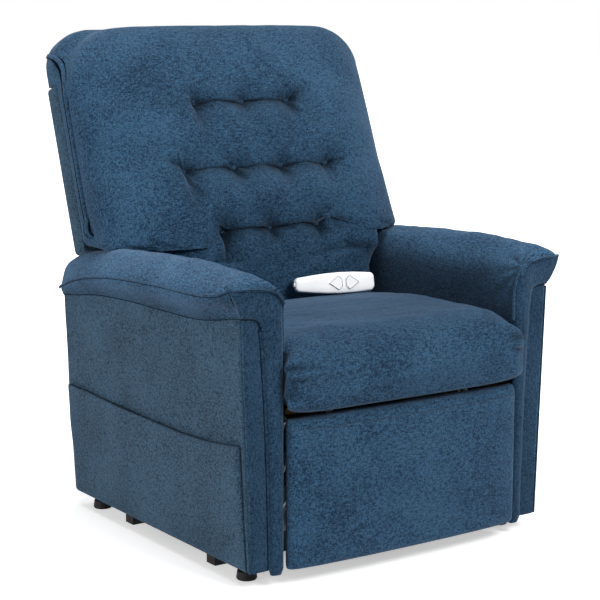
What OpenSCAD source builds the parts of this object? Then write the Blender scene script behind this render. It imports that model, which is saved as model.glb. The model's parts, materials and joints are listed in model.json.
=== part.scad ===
// Lift recliner chair with a floor base, lift links, a powered actuator,
// a reclining back and a pantograph footrest. Millimetres, +Z up, front is -Y.

/* [Chair body] */
// Clear width between the arms, at the floor end of the arm fronts
seat_gap = 580; // [540:1:620]
// Width of one arm at the floor end of its front
arm_w = 93; // [86:1:110]
// Depth of the side panels, front to rear
body_d = 755; // [735:1:775]
// Gap between the floor and the upholstered skirt
skirt_z = 36; // [34:1:42]
// Height of the outer side panel's upper edge at the front
panel_top = 560; // [545:1:575]
// Highest point of the arm pads
arm_top = 656; // [645:1:670]
// How far the arm pads flare out past the side panels
flare = 55; // [44:1:60]
// Thickness of the upholstered boards
board_t = 12; // [10:1:15]
// Depth of the recess of the arm front behind the roll
roll_proud = 15; // [10:1:20]
// How far the side pocket's mouth stands off the panel
pocket_gap = 10; // [8:1:14]
// Height of the side pocket's mouth
pocket_top = 294; // [260:1:320]

/* [Seat] */
// Top of the seat cushion's crown
seat_top = 520; // [505:1:535]
// Underside of the seat cushion
seat_low = 362; // [360:1:372]
// Rear end of the seat cushion
seat_rear = 452; // [435:1:456]
// Overhang of the cushion's front past the arm fronts
seat_nose = 46; // [40:1:50]
// Wire diameter of the seat springs
spring_d = 4; // [3:0.5:5]

/* [Back] */
// Lean of the back from upright, in degrees
back_lean = 18.5; // [16:0.5:20]
// Length of the back above its lower rear edge
back_len = 740; // [715:1:750]
// Half-width of the wings above the arms
wing_half = 405; // [396:1:412]
// Half-width of the back between the arms
waist_half = 284; // [270:1:286]
// Depth of the hard outer shell
shell_d = 57; // [50:1:62]
// Wall of the outer shell
shell_t = 8; // [6:1:10]
// Diameter of the tufting buttons
button_d = 26; // [20:1:30]

/* [Footrest] */
// Width of the footrest board
foot_w = 574; // [540:1:576]
// Lower edge of the footrest board
foot_low = 40; // [38:1:48]
// Upper edge of the footrest board
foot_high = 355; // [340:1:357]
// Depth of the padded footrest board at its edges
foot_t = 31; // [28:1:36]
// Crown of the footrest board's face
foot_crown = 12; // [6:1:14]

/* [Mechanism] */
// Thickness of the moving links
link_t = 5; // [4:0.5:5.5]
// Width of the lift links
lift_w = 34; // [28:1:38]
// Width of the footrest links
foot_link_w = 22; // [18:1:24]
// Diameter of the pivot studs
stud_d = 10; // [8:0.5:12]
// Radial running clearance of the pivots
run_gap = 0.05; // [0.02:0.01:0.1]
// Diameter of the cross tubes
cross_d = 28; // [24:1:32]
// Diameter of the actuator's outer tube
act_d = 46; // [40:1:50]
// Diameter of the actuator's rod
rod_d = 22; // [18:1:25]

/* [Base] */
// Side of the square transverse floor tubes
tube_s = 34; // [30:1:35]
// Wall of the steel tubes
tube_wall = 2; // [1.5:0.5:3]
// Diameter of the floor glides
glide_d = 44; // [36:1:46]

/* [Handset] */
// Length of the handset
hand_l = 196; // [180:1:205]
// Width of the handset
hand_w = 50; // [44:1:54]
// Thickness of the handset
hand_t = 20; // [18:1:22]

/* [Hidden] */

// Colours of the materials
cloth = [0.27, 0.35, 0.46];
cloth_dark = [0.22, 0.28, 0.37];
steel_black = [0.07, 0.07, 0.08];
steel_zinc = [0.62, 0.63, 0.65];
timber = [0.72, 0.58, 0.40];
plastic_black = [0.06, 0.06, 0.06];
plastic_white = [0.92, 0.92, 0.91];

// Chair frame: y = 0 is the face of the recessed arm fronts. The part's origin is
// under the middle of the bounding box.
foot_back = -7;
y_front = foot_back - foot_t - foot_crown;
back_foot = [629, 400];
back_rim = 18;
rim_drop = 36;
y_rear = back_foot[0] + (back_len - rim_drop) * sin(back_lean) - back_rim * cos(back_lean);
y_mid = (y_front + y_rear) / 2;

in_x = seat_gap / 2;
out_x = in_x + arm_w;
panel_lean = 2.3;
plane_frame = in_x - 4;
plate_t = 6;
step_x = link_t + 2;
plane_link = plane_frame - plate_t - 3;
plane_rail = plane_link - link_t - 4;
plane_a = plane_rail - step_x;
plane_b = plane_a - step_x;
plane_c = plane_b - step_x;
plane_d = plane_c - step_x;

// Lift pivots (y, z): main link and guide link, base end and chair end
lift_base = [197, 62];
lift_top = [580, 90];
guide_base = [150, 72];
guide_top = [560, 150];
guide_slack = 4.0;

// Actuator pivots and its inclination
act_base = [120, 65];
act_top = [280, 270];
act_vec = act_top - act_base;
act_len = norm(act_vec);
act_ang = atan2(act_vec[1], act_vec[0]);
act_slack = 2.8;

// Seat swing links: frame end and rail end
swing_len = 110;
swing_back = 35;
swing_vec = swing_len * [sin(swing_back), cos(swing_back)];
swing_rear = [387, 240];
swing_front = [150, 240];
open_slack = 0.4;

// Footrest pantograph pivots in the folded state
foot_a0 = [70, 237];
foot_c0 = [90, 322];
foot_j1 = [139, 74];
foot_j2 = [160, 125];
foot_j3 = [158, 70];
foot_k1 = [8, 313];
foot_k2 = [8, 258];
j2_slack = 1.8;
k2_slack = 1.1;

// Back hinge and its drive link
back_hinge = [650, 400];
back_lug = [640, 350];
back_anchor = [540, 175];
back_slack = 1.0;

module placed() { translate([0, -y_mid, 0]) children(); }

module both() {
  children();
  mirror([1, 0, 0]) children();
}

// Extrudes a (y, z) outline from x to x + t
module plate(x, t) {
  translate([x, 0, 0]) rotate([90, 0, 90]) linear_extrude(t) children();
}

// Round bar along X between x0 and x1 at the point p = (y, z)
module bar_x(p, x0, x1, d) {
  translate([x0, p[0], p[1]]) rotate([0, 90, 0]) cylinder(h = x1 - x0, d = d, $fn = 40);
}

// Flat bar between two points with a slightly wider round eye at each
module bar_2d(p, q, w) {
  v = q - p;
  eye = w + 4;
  translate(p) rotate(atan2(v[1], v[0])) translate([0, -w / 2]) square([norm(v), w]);
  translate(p) circle(d = eye, $fn = 40);
  translate(q) circle(d = eye, $fn = 40);
}

module hole_2d(p, d) { translate(p) circle(d = d, $fn = 40); }

function span(a, b) = [for (i = [a:b]) i];

// Closed solid through rings that all have the same number of points. Each fan closes a
// share of the two end faces: the point it spreads from, then the points it reaches.
module loft(rings, fans = undef) {
  n = len(rings[0]);
  m = len(rings);
  last = (m - 1) * n;
  walls = [for (i = [0:m - 2]) for (j = [0:n - 1])
    let (k = (j + 1) % n)
    each [[i * n + j, (i + 1) * n + j, i * n + k], [(i + 1) * n + j, (i + 1) * n + k, i * n + k]]];
  ends = [for (f = is_undef(fans) ? [[0, span(1, n - 1)]] : fans) for (i = [0:len(f[1]) - 2])
    each [[f[0], f[1][i], f[1][i + 1]], [last + f[0], last + f[1][i + 1], last + f[1][i]]]];
  polyhedron([for (r = rings) each r], concat(walls, ends));
}

function smooth(x) = let (t = min(1, max(0, x))) t * t * (3 - 2 * t);
function mix(a, b, t) = a + (b - a) * t;
function bell(x, s) = exp(-(x * x) / (2 * s * s));

// ---------------------------------------------------------------- base

rail_x = in_x + 41;
rail_w = 24;
rail_h = 24;
cap_l = 3;

module side_rail() {
  difference() {
    translate([rail_x, 60, tube_s]) cube([rail_w, body_d - 80, rail_h]);
    translate([rail_x + tube_wall, 59, tube_s + tube_wall])
      cube([rail_w - 2 * tube_wall, body_d - 78, rail_h - 2 * tube_wall]);
  }
  for (y = [92, body_d - 66])
    translate([rail_x + rail_w, y, tube_s - 12]) cube([4, 34, 12 + rail_h]);
}

module base_side_rail_left() { placed() color(steel_black) mirror([1, 0, 0]) side_rail(); }
module base_side_rail_right() { placed() color(steel_black) side_rail(); }

front_tube_y = 180;
rear_tube_y = 535;

module floor_tube(y) {
  half = rail_x + rail_w - cap_l;
  difference() {
    translate([-half, y, 0]) cube([2 * half, tube_s, tube_s]);
    translate([-half - 1, y + tube_wall, tube_wall])
      cube([2 * half + 2, tube_s - 2 * tube_wall, tube_s - 2 * tube_wall]);
  }
}

module base_front_tube() { placed() color(steel_black) floor_tube(front_tube_y); }
module base_rear_tube() { placed() color(steel_black) floor_tube(rear_tube_y); }

module tube_end_caps() {
  placed() color(plastic_black) both() for (y = [front_tube_y, rear_tube_y])
    translate([rail_x + rail_w - cap_l, y, 0]) {
      cube([cap_l, tube_s, tube_s]);
      translate([-10, tube_wall, tube_wall])
        cube([10, tube_s - 2 * tube_wall, tube_s - 2 * tube_wall]);
    }
}

module glide_feet() {
  placed() color(plastic_black) both() for (y = [75, body_d - 52])
    translate([rail_x + rail_w / 2, y, 0]) rotate_extrude($fn = 48)
      polygon([[0, 0], [glide_d / 2 - 2, 0], [glide_d / 2, 3], [glide_d / 2 - 2, 18], [9, 22],
        [9, tube_s], [0, tube_s]]);
}

module base_pivot_brackets() {
  placed() color(steel_black) both() {
    plate(plane_frame - plate_t, plate_t) polygon([[front_tube_y - 52, 52], [front_tube_y - 52, 84],
      [front_tube_y - 38, 92], [front_tube_y + 22, 84], [front_tube_y + tube_s + 6, 60],
      [front_tube_y + tube_s + 6, tube_s], [front_tube_y - 10, tube_s]]);
    bar_x(lift_base, plane_link - link_t - 1, plane_frame - 1, stud_d + 4);
    bar_x(guide_base, plane_rail - link_t - 1, plane_frame - 1, stud_d);
  }
  placed() color(steel_black) difference() {
    for (x = [-1, 1]) translate([x * (act_eye_w / 2 + 4) - 3, 0, 0])
      plate(0, 6) polygon([[act_base[0] - 18, act_base[1] - 14], [act_base[0] - 18, act_base[1] + 12],
        [act_base[0] - 8, act_base[1] + 17], [act_base[0] + 12, act_base[1] + 6],
        [act_base[0] + 16, act_base[1] - 8], [front_tube_y, tube_s + 4], [front_tube_y + tube_s, tube_s + 4],
        [front_tube_y + tube_s, tube_s], [front_tube_y - 1, tube_s]]);
    bar_x(act_base, -60, 60, stud_d + 4 + 2 * run_gap);
  }
}

box_size = [150, 70, 44];
box_at = [70, rear_tube_y + tube_s + 6, 8];

module power_box() {
  placed() color(plastic_black) {
    difference() {
      translate(box_at) cube(box_size);
      translate(box_at + [24, box_size[1] - 14, 12]) cube([28, 15, 20]);
      translate(box_at + [box_size[0] - 30, box_size[1] - 12, 22]) rotate([-90, 0, 0])
        cylinder(h = 13, d = 16, $fn = 32);
      for (x = [68:8:108]) translate(box_at + [x, 8, box_size[2] - 3]) cube([4, 54, 4]);
    }
    translate(box_at + [10, -6, 6]) cube([20, 7, 20]);
    translate(box_at + [box_size[0] - 30, -6, 6]) cube([20, 7, 20]);
  }
}

module power_inlet() {
  placed() color(plastic_black) translate(box_at + [24, box_size[1] - 14, 12]) {
    difference() {
      translate([0.5, 0, 0.5]) cube([27, 14, 19]);
      translate([3, 4, 3]) cube([22, 11, 14]);
    }
    for (p = [[9, 8], [19, 8], [14, 13]]) translate([p[0] - 1, 3, p[1] - 0.5]) cube([2, 8, 4]);
  }
}

// ---------------------------------------------------------------- lift linkage

tie_at = mix(lift_base, lift_top, 0.69);

module lift_links() {
  placed() color(steel_black) both() plate(plane_link - link_t, link_t) difference() {
    bar_2d(lift_base, lift_top, lift_w);
    hole_2d(lift_base, stud_d + 4 + 2 * run_gap);
    hole_2d(lift_top, stud_d + 4 + 2 * run_gap);
    hole_2d(tie_at, cross_d);
  }
}

module lift_cross_tube() {
  placed() color(steel_black) difference() {
    bar_x(tie_at, -plane_link, plane_link, cross_d);
    bar_x(tie_at, -plane_link - 1, plane_link + 1, cross_d - 2 * tube_wall);
  }
}

module guide_links() {
  placed() color(steel_black) both() plate(plane_rail - link_t, link_t) difference() {
    bar_2d(guide_base, guide_top, lift_w - 4);
    hole_2d(guide_base, stud_d + 2 * run_gap);
    hole_2d(guide_top, stud_d + 2 * guide_slack);
  }
}

// ---------------------------------------------------------------- actuator

act_eye_w = 22;

// Puts a part drawn along +X at the actuator's lower pivot onto its real line
module on_actuator() {
  placed() translate([0, act_base[0], act_base[1]]) rotate([0, 0, 90]) rotate([0, -act_ang, 0]) children();
}

module actuator_gearbox() {
  color(plastic_black) on_actuator() difference() {
    union() {
      rotate([90, 0, 0]) translate([0, 0, -act_eye_w / 2]) cylinder(h = act_eye_w, d = 26, $fn = 40);
      translate([0, -act_eye_w / 2, -10]) cube([24, act_eye_w, 20]);
      translate([20, -29, -29]) cube([52, 58, 58]);
    }
    rotate([90, 0, 0]) translate([0, 0, -act_eye_w / 2 - 1]) cylinder(h = act_eye_w + 2, d = 10, $fn = 40);
  }
  color(steel_zinc) placed() bar_x(act_base, -act_eye_w / 2 - 12, act_eye_w / 2 + 12, stud_d + 4);
}

motor_d = 56;

module actuator_motor() {
  color(steel_black) on_actuator() translate([45, -29 - 96, 4]) rotate([-90, 0, 0]) {
    cylinder(h = 96, d = motor_d, $fn = 48);
    translate([0, 0, -6]) cylinder(h = 7, d = 22, $fn = 32);
  }
}

tube_from = 72;
tube_to = act_len - 30;

module actuator_tube() {
  color(plastic_black) on_actuator() translate([tube_from, 0, 0]) rotate([0, 90, 0]) difference() {
    cylinder(h = tube_to - tube_from, d = act_d, $fn = 48);
    translate([0, 0, 6]) cylinder(h = tube_to - tube_from, d = rod_d + 0.2, $fn = 48);
  }
}

rod_eye_r = 16;

module actuator_rod() {
  color(steel_zinc) on_actuator() translate([tube_from + 8, 0, 0]) rotate([0, 90, 0])
    cylinder(h = act_len - rod_eye_r - 2 - tube_from - 8, d = rod_d, $fn = 48);
}

module rod_end() {
  color(steel_zinc) on_actuator() difference() {
    union() {
      rotate([90, 0, 0]) translate([0, 0, -act_eye_w / 2])
        translate([act_len, 0, 0]) cylinder(h = act_eye_w, r = rod_eye_r, $fn = 48);
      translate([act_len - rod_eye_r - 2, 0, 0]) rotate([0, 90, 0]) cylinder(h = 8, d = rod_d - 2, $fn = 48);
    }
    rotate([90, 0, 0]) translate([act_len, 0, -act_eye_w / 2 - 1])
      cylinder(h = act_eye_w + 2, d = stud_d + 2 * act_slack, $fn = 48);
  }
}

// ---------------------------------------------------------------- chair frame

front_cross = [326, 285];
rear_cross = [470, 225];
arm_core_x = in_x + 40;

module side_plate() {
  difference() {
    plate(plane_frame - plate_t, plate_t) difference() {
      polygon([[124, 214], [124, 262], [150, 272], [345, 305], [400, 262], [560, 262], [612, 246],
        [620, 200], [606, 72], [560, 66], [520, 128], [440, 200], [300, 206]]);
      hole_2d(swing_rear, cross_d + 2 * run_gap);
      hole_2d(front_cross, cross_d);
      hole_2d(rear_cross, cross_d);
      for (p = [[210, 240], [265, 245], [480, 222]]) hole_2d(p, 34);
    }
  }
  bar_x(lift_top, plane_link - link_t - 1, plane_frame - 1, stud_d + 4);
  bar_x(guide_top, plane_rail - link_t - 1, plane_frame - 1, stud_d);
  bar_x(swing_front, plane_link - link_t - 0.5, plane_frame - 1, stud_d);
  bar_x(back_anchor, plane_link - link_t - 0.5, plane_frame - 1, stud_d);
}

module side_plate_left() { placed() color(steel_black) mirror([1, 0, 0]) side_plate(); }
module side_plate_right() { placed() color(steel_black) side_plate(); }

module cross_tube(p) {
  half = arm_core_x + board_t;
  difference() {
    bar_x(p, -half, half, cross_d);
    bar_x(p, -half - 1, half + 1, cross_d - 2 * tube_wall);
  }
}

module front_cross_tube() {
  placed() color(steel_black) {
    cross_tube(front_cross);
    for (x = [-act_eye_w / 2 - 8, act_eye_w / 2 + 2]) difference() {
      plate(x, 6) bar_2d(act_top, front_cross, 30);
      bar_x(front_cross, x - 1, x + 7, cross_d - 2);
    }
    bar_x(act_top, -act_eye_w / 2 - 12, act_eye_w / 2 + 12, stud_d);
  }
}

module rear_cross_tube() { placed() color(steel_black) cross_tube(rear_cross); }

core_low = 80;

// Inner face of the slanted side panel at height z
function side_in(z) = out_x - board_t / cos(panel_lean) + (z - skirt_z) * tan(panel_lean) - 0.5;

// Upper edge of the timber arm frame
function core_z(y) = lookup(y, [[18, panel_top - 12], [body_d - 170, panel_top - 30], [body_d - 12, panel_top - 130]]);

module arm_frame() {
  plate(arm_core_x, board_t) difference() {
    polygon([[18, core_low], for (y = [18, body_d - 170, body_d - 40]) [y, core_z(y)], [body_d - 20, core_low]]);
    hole_2d(front_cross, cross_d);
    hole_2d(rear_cross, cross_d);
    for (y = [110:120:body_d - 150]) {
      hole_2d([y, 160], 84);
      hole_2d([y, 420], 84);
    }
  }
}

module arm_frame_left() { placed() color(timber) mirror([1, 0, 0]) arm_frame(); }
module arm_frame_right() { placed() color(timber) arm_frame(); }

// Lower edge of the padded inner face behind the front roll
inner_low = 345;

// Heights along the arm: crown, lip of the flare and its under edge
function crown_z(y) = arm_top + lookup(y, [[-40, -20], [0, -11], [60, -5], [170, 0], [300, -3], [420, -10],
  [body_d - 235, -18], [body_d - 155, -32], [body_d - 75, -58], [body_d - 25, -92], [body_d + 11, -150]]);
function lip_z(y) = crown_z(y) + lookup(y, [[0, -30], [120, -50], [420, -54], [body_d - 155, -42],
  [body_d - 75, -44], [body_d + 11, -30]]);
function under_z(y) = lookup(y, [[20, panel_top + 2], [130, panel_top - 16], [450, panel_top - 20],
  [body_d - 165, panel_top - 26], [body_d - 65, panel_top - 50], [body_d, panel_top - 96]]);

// One arm section: t is 0 on the flat end face and 1 on the full section
function arm_ring(y, t) =
  let (
    e = 12 * (1 - t),
    roll_in = in_x + e / 2,
    roll_out = arm_core_x - 1,
    crown = crown_z(y) - e,
    lip = lip_z(y),
    under = under_z(y) + e,
    tip = out_x + flare + 6 - e - 26 * smooth((y - body_d + 195) / 200),
    over = out_x + 24 + 5 * smooth((y - 20) / 100),
    top_x = in_x + 82,
    core_top = core_z(y),
    low = (y < 46 ? skirt_z : inner_low) + e,
    face_in = in_x + 9 + e,
    shoulder_in = in_x + 20 + e,
    shoulder_z = min(590, crown - 22)
  )
  [for (p = concat(
      [[roll_out, low], [roll_in + 6, low], [roll_in, low + 8], [mix(roll_in, face_in, 0.5), max(low + 20, 260)],
        [face_in, min(480, crown - 90)], [shoulder_in - 4, min(560, crown - 45)]],
      [for (a = [0:15:90]) [top_x - (top_x - shoulder_in) * cos(a), mix(shoulder_z, crown, sin(a))]],
      [for (a = [75:-15:0]) [top_x + (tip - top_x) * cos(a), lip + (crown - lip) * sin(a)]],
      [[tip - 5, lip - 14], [mix(tip, over, 0.5) + 4, mix(lip, under, 0.6)], [over, under],
        [side_in(core_top) - 1, under], [side_in(core_top) - 1, core_top + 3], [roll_out, core_top + 3]]))
    [p[0], y, p[1]]];

// The section's hollow corner and its crown part the two fans of each end
arm_fans = [[24, concat(span(0, 12), [22, 23])], [22, span(12, 21)]];

module arm_pad() {
  loft(fans = arm_fans, rings = [for (s = [[-roll_proud, 0], [3 - roll_proud, 0.55], [9 - roll_proud, 0.9],
    for (y = [4, 20, 45, 47, 80, 130, 220, 330, 450, 530]) [y, 1],
    for (y = [170, 165, 115, 65, 40, 27]) [body_d - y, 1],
    [body_d - 19, 0.6], [body_d - 14, 0]]) arm_ring(s[0], s[1])]);
}

module arm_pad_left() { placed() color(cloth) mirror([1, 0, 0]) arm_pad(); }
module arm_pad_right() { placed() color(cloth) arm_pad(); }

module arm_side_panel() {
  translate([out_x, 0, skirt_z]) rotate([0, panel_lean, 0]) plate(-board_t, board_t)
    polygon([[0, 0], for (y = [0, 20, 130, 450, body_d - 165, body_d - 65, body_d]) [y, under_z(y) - skirt_z - 2],
      [body_d, 0]]);
}

module arm_side_panel_left() { placed() color(cloth_dark) mirror([1, 0, 0]) arm_side_panel(); }
module arm_side_panel_right() { placed() color(cloth) arm_side_panel(); }

module arm_front_panel() {
  translate([0, board_t, 0]) rotate([90, 0, 0]) linear_extrude(board_t)
    polygon([[arm_core_x, skirt_z], [side_in(skirt_z), skirt_z], [side_in(panel_top - 14), panel_top - 14],
      [arm_core_x + 1, panel_top - 14]]);
}

module arm_front_panel_left() { placed() color(cloth) mirror([1, 0, 0]) arm_front_panel(); }
module arm_front_panel_right() { placed() color(cloth) arm_front_panel(); }

pocket_t = 3;

module side_pocket_left() {
  placed() color(cloth_dark) mirror([1, 0, 0]) {
    h = pocket_top - skirt_z;
    translate([out_x + 0.3, 0, skirt_z]) rotate([0, panel_lean, 0]) difference() {
      translate([0, 10, 2]) rotate([90, 0, 0]) mirror([0, 0, 1]) linear_extrude(body_d - 20)
        polygon([[0, 0], [4, 0], [pocket_gap + pocket_t, h * 0.7], [pocket_gap + pocket_t, h], [0, h]]);
      translate([0, 22, 2]) rotate([90, 0, 0]) mirror([0, 0, 1]) linear_extrude(body_d - 44)
        polygon([[-1, 30], [pocket_gap, h * 0.7], [pocket_gap, h + 1], [-1, h + 1]]);
    }
  }
}

rear_panel_top = 316;

module rear_panel() {
  half = in_x + 2;
  placed() color(cloth_dark) translate([-half, body_d - board_t - 1, skirt_z])
    cube([2 * half, board_t, rear_panel_top - skirt_z]);
}

module arm_rear_panel() {
  translate([0, body_d - 1, 0]) rotate([90, 0, 0]) linear_extrude(board_t)
    polygon([[in_x + 2.5, skirt_z], [side_in(skirt_z), skirt_z], [side_in(skirt_z + 400), skirt_z + 400],
      [in_x + 7, skirt_z + 400]]);
}

module arm_rear_panel_left() { placed() color(cloth_dark) mirror([1, 0, 0]) arm_rear_panel(); }
module arm_rear_panel_right() { placed() color(cloth_dark) arm_rear_panel(); }

// ---------------------------------------------------------------- seat and recline linkage

swing_top_rear = swing_rear + swing_vec;
swing_top_front = swing_front + swing_vec;

module drive_tube() {
  placed() color(steel_black) difference() {
    bar_x(swing_rear, -plane_frame + 0.5, plane_frame - 0.5, cross_d);
    bar_x(swing_rear, -plane_frame, plane_frame, cross_d - 2 * tube_wall);
  }
}

module seat_rear_arms() {
  placed() color(steel_black) both() plate(plane_link - link_t, link_t) difference() {
    union() {
      bar_2d(swing_rear, swing_top_rear, 24);
      hole_2d(swing_rear, cross_d + 14);
    }
    hole_2d(swing_rear, cross_d);
    hole_2d(swing_top_rear, stud_d + 2 * run_gap);
  }
}

module seat_front_links() {
  placed() color(steel_black) both() plate(plane_link - link_t, link_t) difference() {
    bar_2d(swing_front, swing_top_front, 26);
    hole_2d(swing_front, stud_d + 2 * run_gap);
    hole_2d(swing_top_front, stud_d + 2 * open_slack);
  }
}

rail_low = 318;
rail_top = 348;

module seat_rails() {
  placed() color(steel_black) both() {
    plate(plane_rail - link_t, link_t) difference() {
      union() {
        translate([70, rail_low]) square([460, rail_top - rail_low]);
        bar_2d([78, 326], foot_a0, 26);
        bar_2d([520, 333], back_hinge, 30);
      }
      hole_2d(back_hinge, stud_d + 2 * run_gap);
      for (y = [260:60:500]) hole_2d([y, 333], 12);
    }
    bar_x(swing_top_rear, plane_rail - 1, plane_link + 0.5, stud_d);
    bar_x(swing_top_front, plane_rail - 1, plane_link + 0.5, stud_d);
    bar_x(foot_a0, plane_a - link_t - 0.5, plane_rail - 1, stud_d);
    bar_x(foot_c0, plane_c - link_t - 0.5, plane_rail - 1, stud_d);
  }
}

module seat_cross_tubes() {
  half = plane_rail - link_t;
  placed() color(steel_black) for (p = [[190, 333], [500, 333]]) difference() {
    bar_x(p, -half, half, cross_d - 4);
    bar_x(p, -half - 1, half + 1, cross_d - 4 - 2 * tube_wall);
  }
}

deck_half = in_x - 12;
deck_front = 24;
board_w = 40;
deck_low = rail_top + 0.5;
deck_t = seat_low - deck_low - 0.5;

module seat_deck() {
  placed() color(timber) {
    for (y = [deck_front, seat_rear - board_w]) translate([-deck_half, y, deck_low])
      cube([2 * deck_half, board_w, deck_t]);
    both() translate([deck_half - 28, deck_front + board_w + 0.2, deck_low])
      cube([28, seat_rear - deck_front - 2 * board_w - 0.4, deck_t]);
  }
}

// Outline of a sinuous spring wire, run back and forth along +Y with rounded corners
module zigzag_2d(turns, pitch, amp) {
  for (i = [0:turns]) translate([-amp / 2, i * pitch - spring_d / 2]) square([amp, spring_d]);
  for (i = [0:turns - 1]) translate([(i % 2 == 0 ? 1 : -1) * amp / 2, i * pitch]) {
    translate([-spring_d / 2, 0]) square([spring_d, pitch]);
    circle(d = spring_d, $fn = 16);
    translate([0, pitch]) circle(d = spring_d, $fn = 16);
  }
}

spring_turns = 12;

module seat_springs() {
  pitch = (seat_rear - deck_front - 2 * board_w - 0.6 - spring_d) / spring_turns;
  placed() color(steel_zinc) for (x = [-180:90:180])
    translate([x, deck_front + board_w + 0.3 + spring_d / 2, deck_low + (deck_t - spring_d) / 2])
      linear_extrude(spring_d) zigzag_2d(spring_turns, pitch, 40);
}

// One cross-section of the seat cushion at y, walked from the lower left corner
function seat_ring(y) =
  let (
    f = (y + seat_nose) / 34,
    n = (y + seat_nose) / 95,
    nose = sqrt(max(0, 1 - pow(1 - min(1, max(0, n)), 2))),
    r = (seat_rear - y) / 30,
    ease = sqrt(max(0, 1 - pow(1 - min(1, max(0, f)), 2))),
    tail = sqrt(max(0, 1 - pow(1 - min(1, max(0, r)), 2))),
    half = in_x - 5 - 26 * (1 - ease) - 10 * (1 - tail) + 14 * bell(y + 30, 9),
    top = seat_top - 84 * (1 - nose) - 22 * (1 - tail) - 16 * smooth((y - 250) / 200),
    low = seat_low + 20 * (1 - ease) + 8 * (1 - tail),
    mid = (top + low) / 2,
    h = (top - low) / 2
  )
  [for (i = [0:35])
    let (
      a = 225 - i * 10,
      c = cos(a),
      s = sin(a),
      x = sign(c) * pow(abs(c), 0.32) * half,
      z = mid + sign(s) * pow(abs(s), s > 0 ? 0.42 : 0.24) * h
    ) [x, y, z]];

module seat_cushion() {
  placed() color(cloth) loft([for (y = [-seat_nose, -seat_nose + 1.5, -seat_nose + 6, -seat_nose + 14,
    -seat_nose + 26, 0, 40, 110, 190, 280, 360, seat_rear - 32, seat_rear - 14, seat_rear - 4, seat_rear])
    seat_ring(y)]);
}

// ---------------------------------------------------------------- footrest

module foot_links_rear() {
  placed() color(steel_zinc) both() {
    plate(plane_a - link_t, link_t) difference() {
      bar_2d(foot_a0, foot_j1, foot_link_w);
      hole_2d(foot_a0, stud_d + 2 * run_gap);
    }
    bar_x(foot_j1, plane_b - link_t - 0.5, plane_a - 1, stud_d);
  }
}

module foot_links_outer() {
  placed() color(steel_zinc) both() {
    plate(plane_b - link_t, link_t) difference() {
      union() {
        bar_2d(foot_j1, foot_j2, foot_link_w);
        bar_2d(foot_j2, foot_k1, foot_link_w);
      }
      hole_2d(foot_j1, stud_d + 2 * run_gap);
      hole_2d(foot_j2, stud_d + 2 * j2_slack);
      hole_2d(foot_k1, stud_d + 2 * run_gap);
    }
  }
}

module foot_links_front() {
  placed() color(steel_zinc) both() {
    plate(plane_c - link_t, link_t) difference() {
      union() {
        bar_2d(foot_c0, foot_j2, foot_link_w);
        bar_2d(foot_j2, foot_j3, foot_link_w);
      }
      hole_2d(foot_c0, stud_d + 2 * run_gap);
    }
    bar_x(foot_j2, plane_c - 1, plane_b + 0.5, stud_d);
    bar_x(foot_j3, plane_d - link_t - 0.5, plane_c - 1, stud_d);
  }
}

module foot_links_inner() {
  placed() color(steel_zinc) both() plate(plane_d - link_t, link_t) difference() {
    bar_2d(foot_j3, foot_k2, foot_link_w);
    hole_2d(foot_j3, stud_d + 2 * run_gap);
    hole_2d(foot_k2, stud_d + 2 * k2_slack);
  }
}

module foot_brackets() {
  placed() color(steel_zinc) both() {
    plate(plane_c - link_t, link_t)
      polygon([[foot_back, foot_k2[1] - 24], [foot_back, foot_k1[1] + 20], [foot_k1[0] + 4, foot_k1[1] + 12],
        [foot_k1[0] + 12, foot_k1[1]], [foot_k2[0] + 12, foot_k2[1]], [foot_k2[0] + 4, foot_k2[1] - 12]]);
    translate([plane_c - link_t - 24, foot_back, foot_k2[1] + 16])
      cube([25, 4, foot_k1[1] - foot_k2[1] + 4]);
    bar_x(foot_k1, plane_c - 1, plane_b + 0.5, stud_d);
    bar_x(foot_k2, plane_d - link_t - 0.5, plane_c - link_t + 1, stud_d);
  }
}

// One horizontal section of the footrest board at height z
function foot_ring(z) =
  let (
    lo = (z - foot_low) / 18,
    hi = (foot_high - z) / 22,
    e = sqrt(max(0, 1 - pow(1 - min(1, max(0, min(lo, hi))), 2))),
    half = foot_w / 2 - 5 * (1 - e),
    t = foot_t - 14 * (1 - e),
    crown = foot_crown * e * (0.6 + 0.4 * sin(180 * min(1, max(0, (z - foot_low) / (foot_high - foot_low)))))
  )
  concat([[half, foot_back, z]],
    [for (i = [1:19]) let (a = 9 * i, u = sign(cos(a)) * sqrt(abs(cos(a))))
      [half * u, foot_back - t * sqrt(sin(a)) - crown * (1 - u * u), z]],
    [[-half, foot_back, z]]);

module footrest_board() {
  placed() color(cloth) loft([for (z = [foot_low, foot_low + 3, foot_low + 8, foot_low + 18, 110, 160, 200, 240,
    290, foot_high - 22, foot_high - 10, foot_high - 4, foot_high]) foot_ring(z)]);
}

// ---------------------------------------------------------------- back

// Puts a part drawn in the back's own frame (x, depth, height) onto the chair
module on_back() {
  placed() translate([0, back_foot[0], back_foot[1]]) rotate([-back_lean, 0, 0]) children();
}

// Point on the back's rear face at the distance s above its foot
function on_rear(s) = back_foot + s * [sin(back_lean), cos(back_lean)];

module back_brackets() {
  placed() color(steel_black) both() {
    plate(plane_a - link_t, link_t) polygon([back_lug + [-12, -12], back_lug + [-12, 10], on_rear(20), on_rear(150),
      on_rear(150) + [10, -3], back_hinge + [34, 40], back_hinge + [20, 0], back_lug + [12, -12]]);
    translate([plane_a - 30, 0, 0]) plate(0, 30 - link_t)
      polygon([on_rear(22), on_rear(148), on_rear(148) + [4, -1.3], on_rear(22) + [4, -1.3]]);
    bar_x(back_hinge, plane_a - 1, plane_rail + 0.5, stud_d);
    bar_x(back_lug, plane_a - 1, plane_link + 0.5, stud_d);
  }
}

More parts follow.
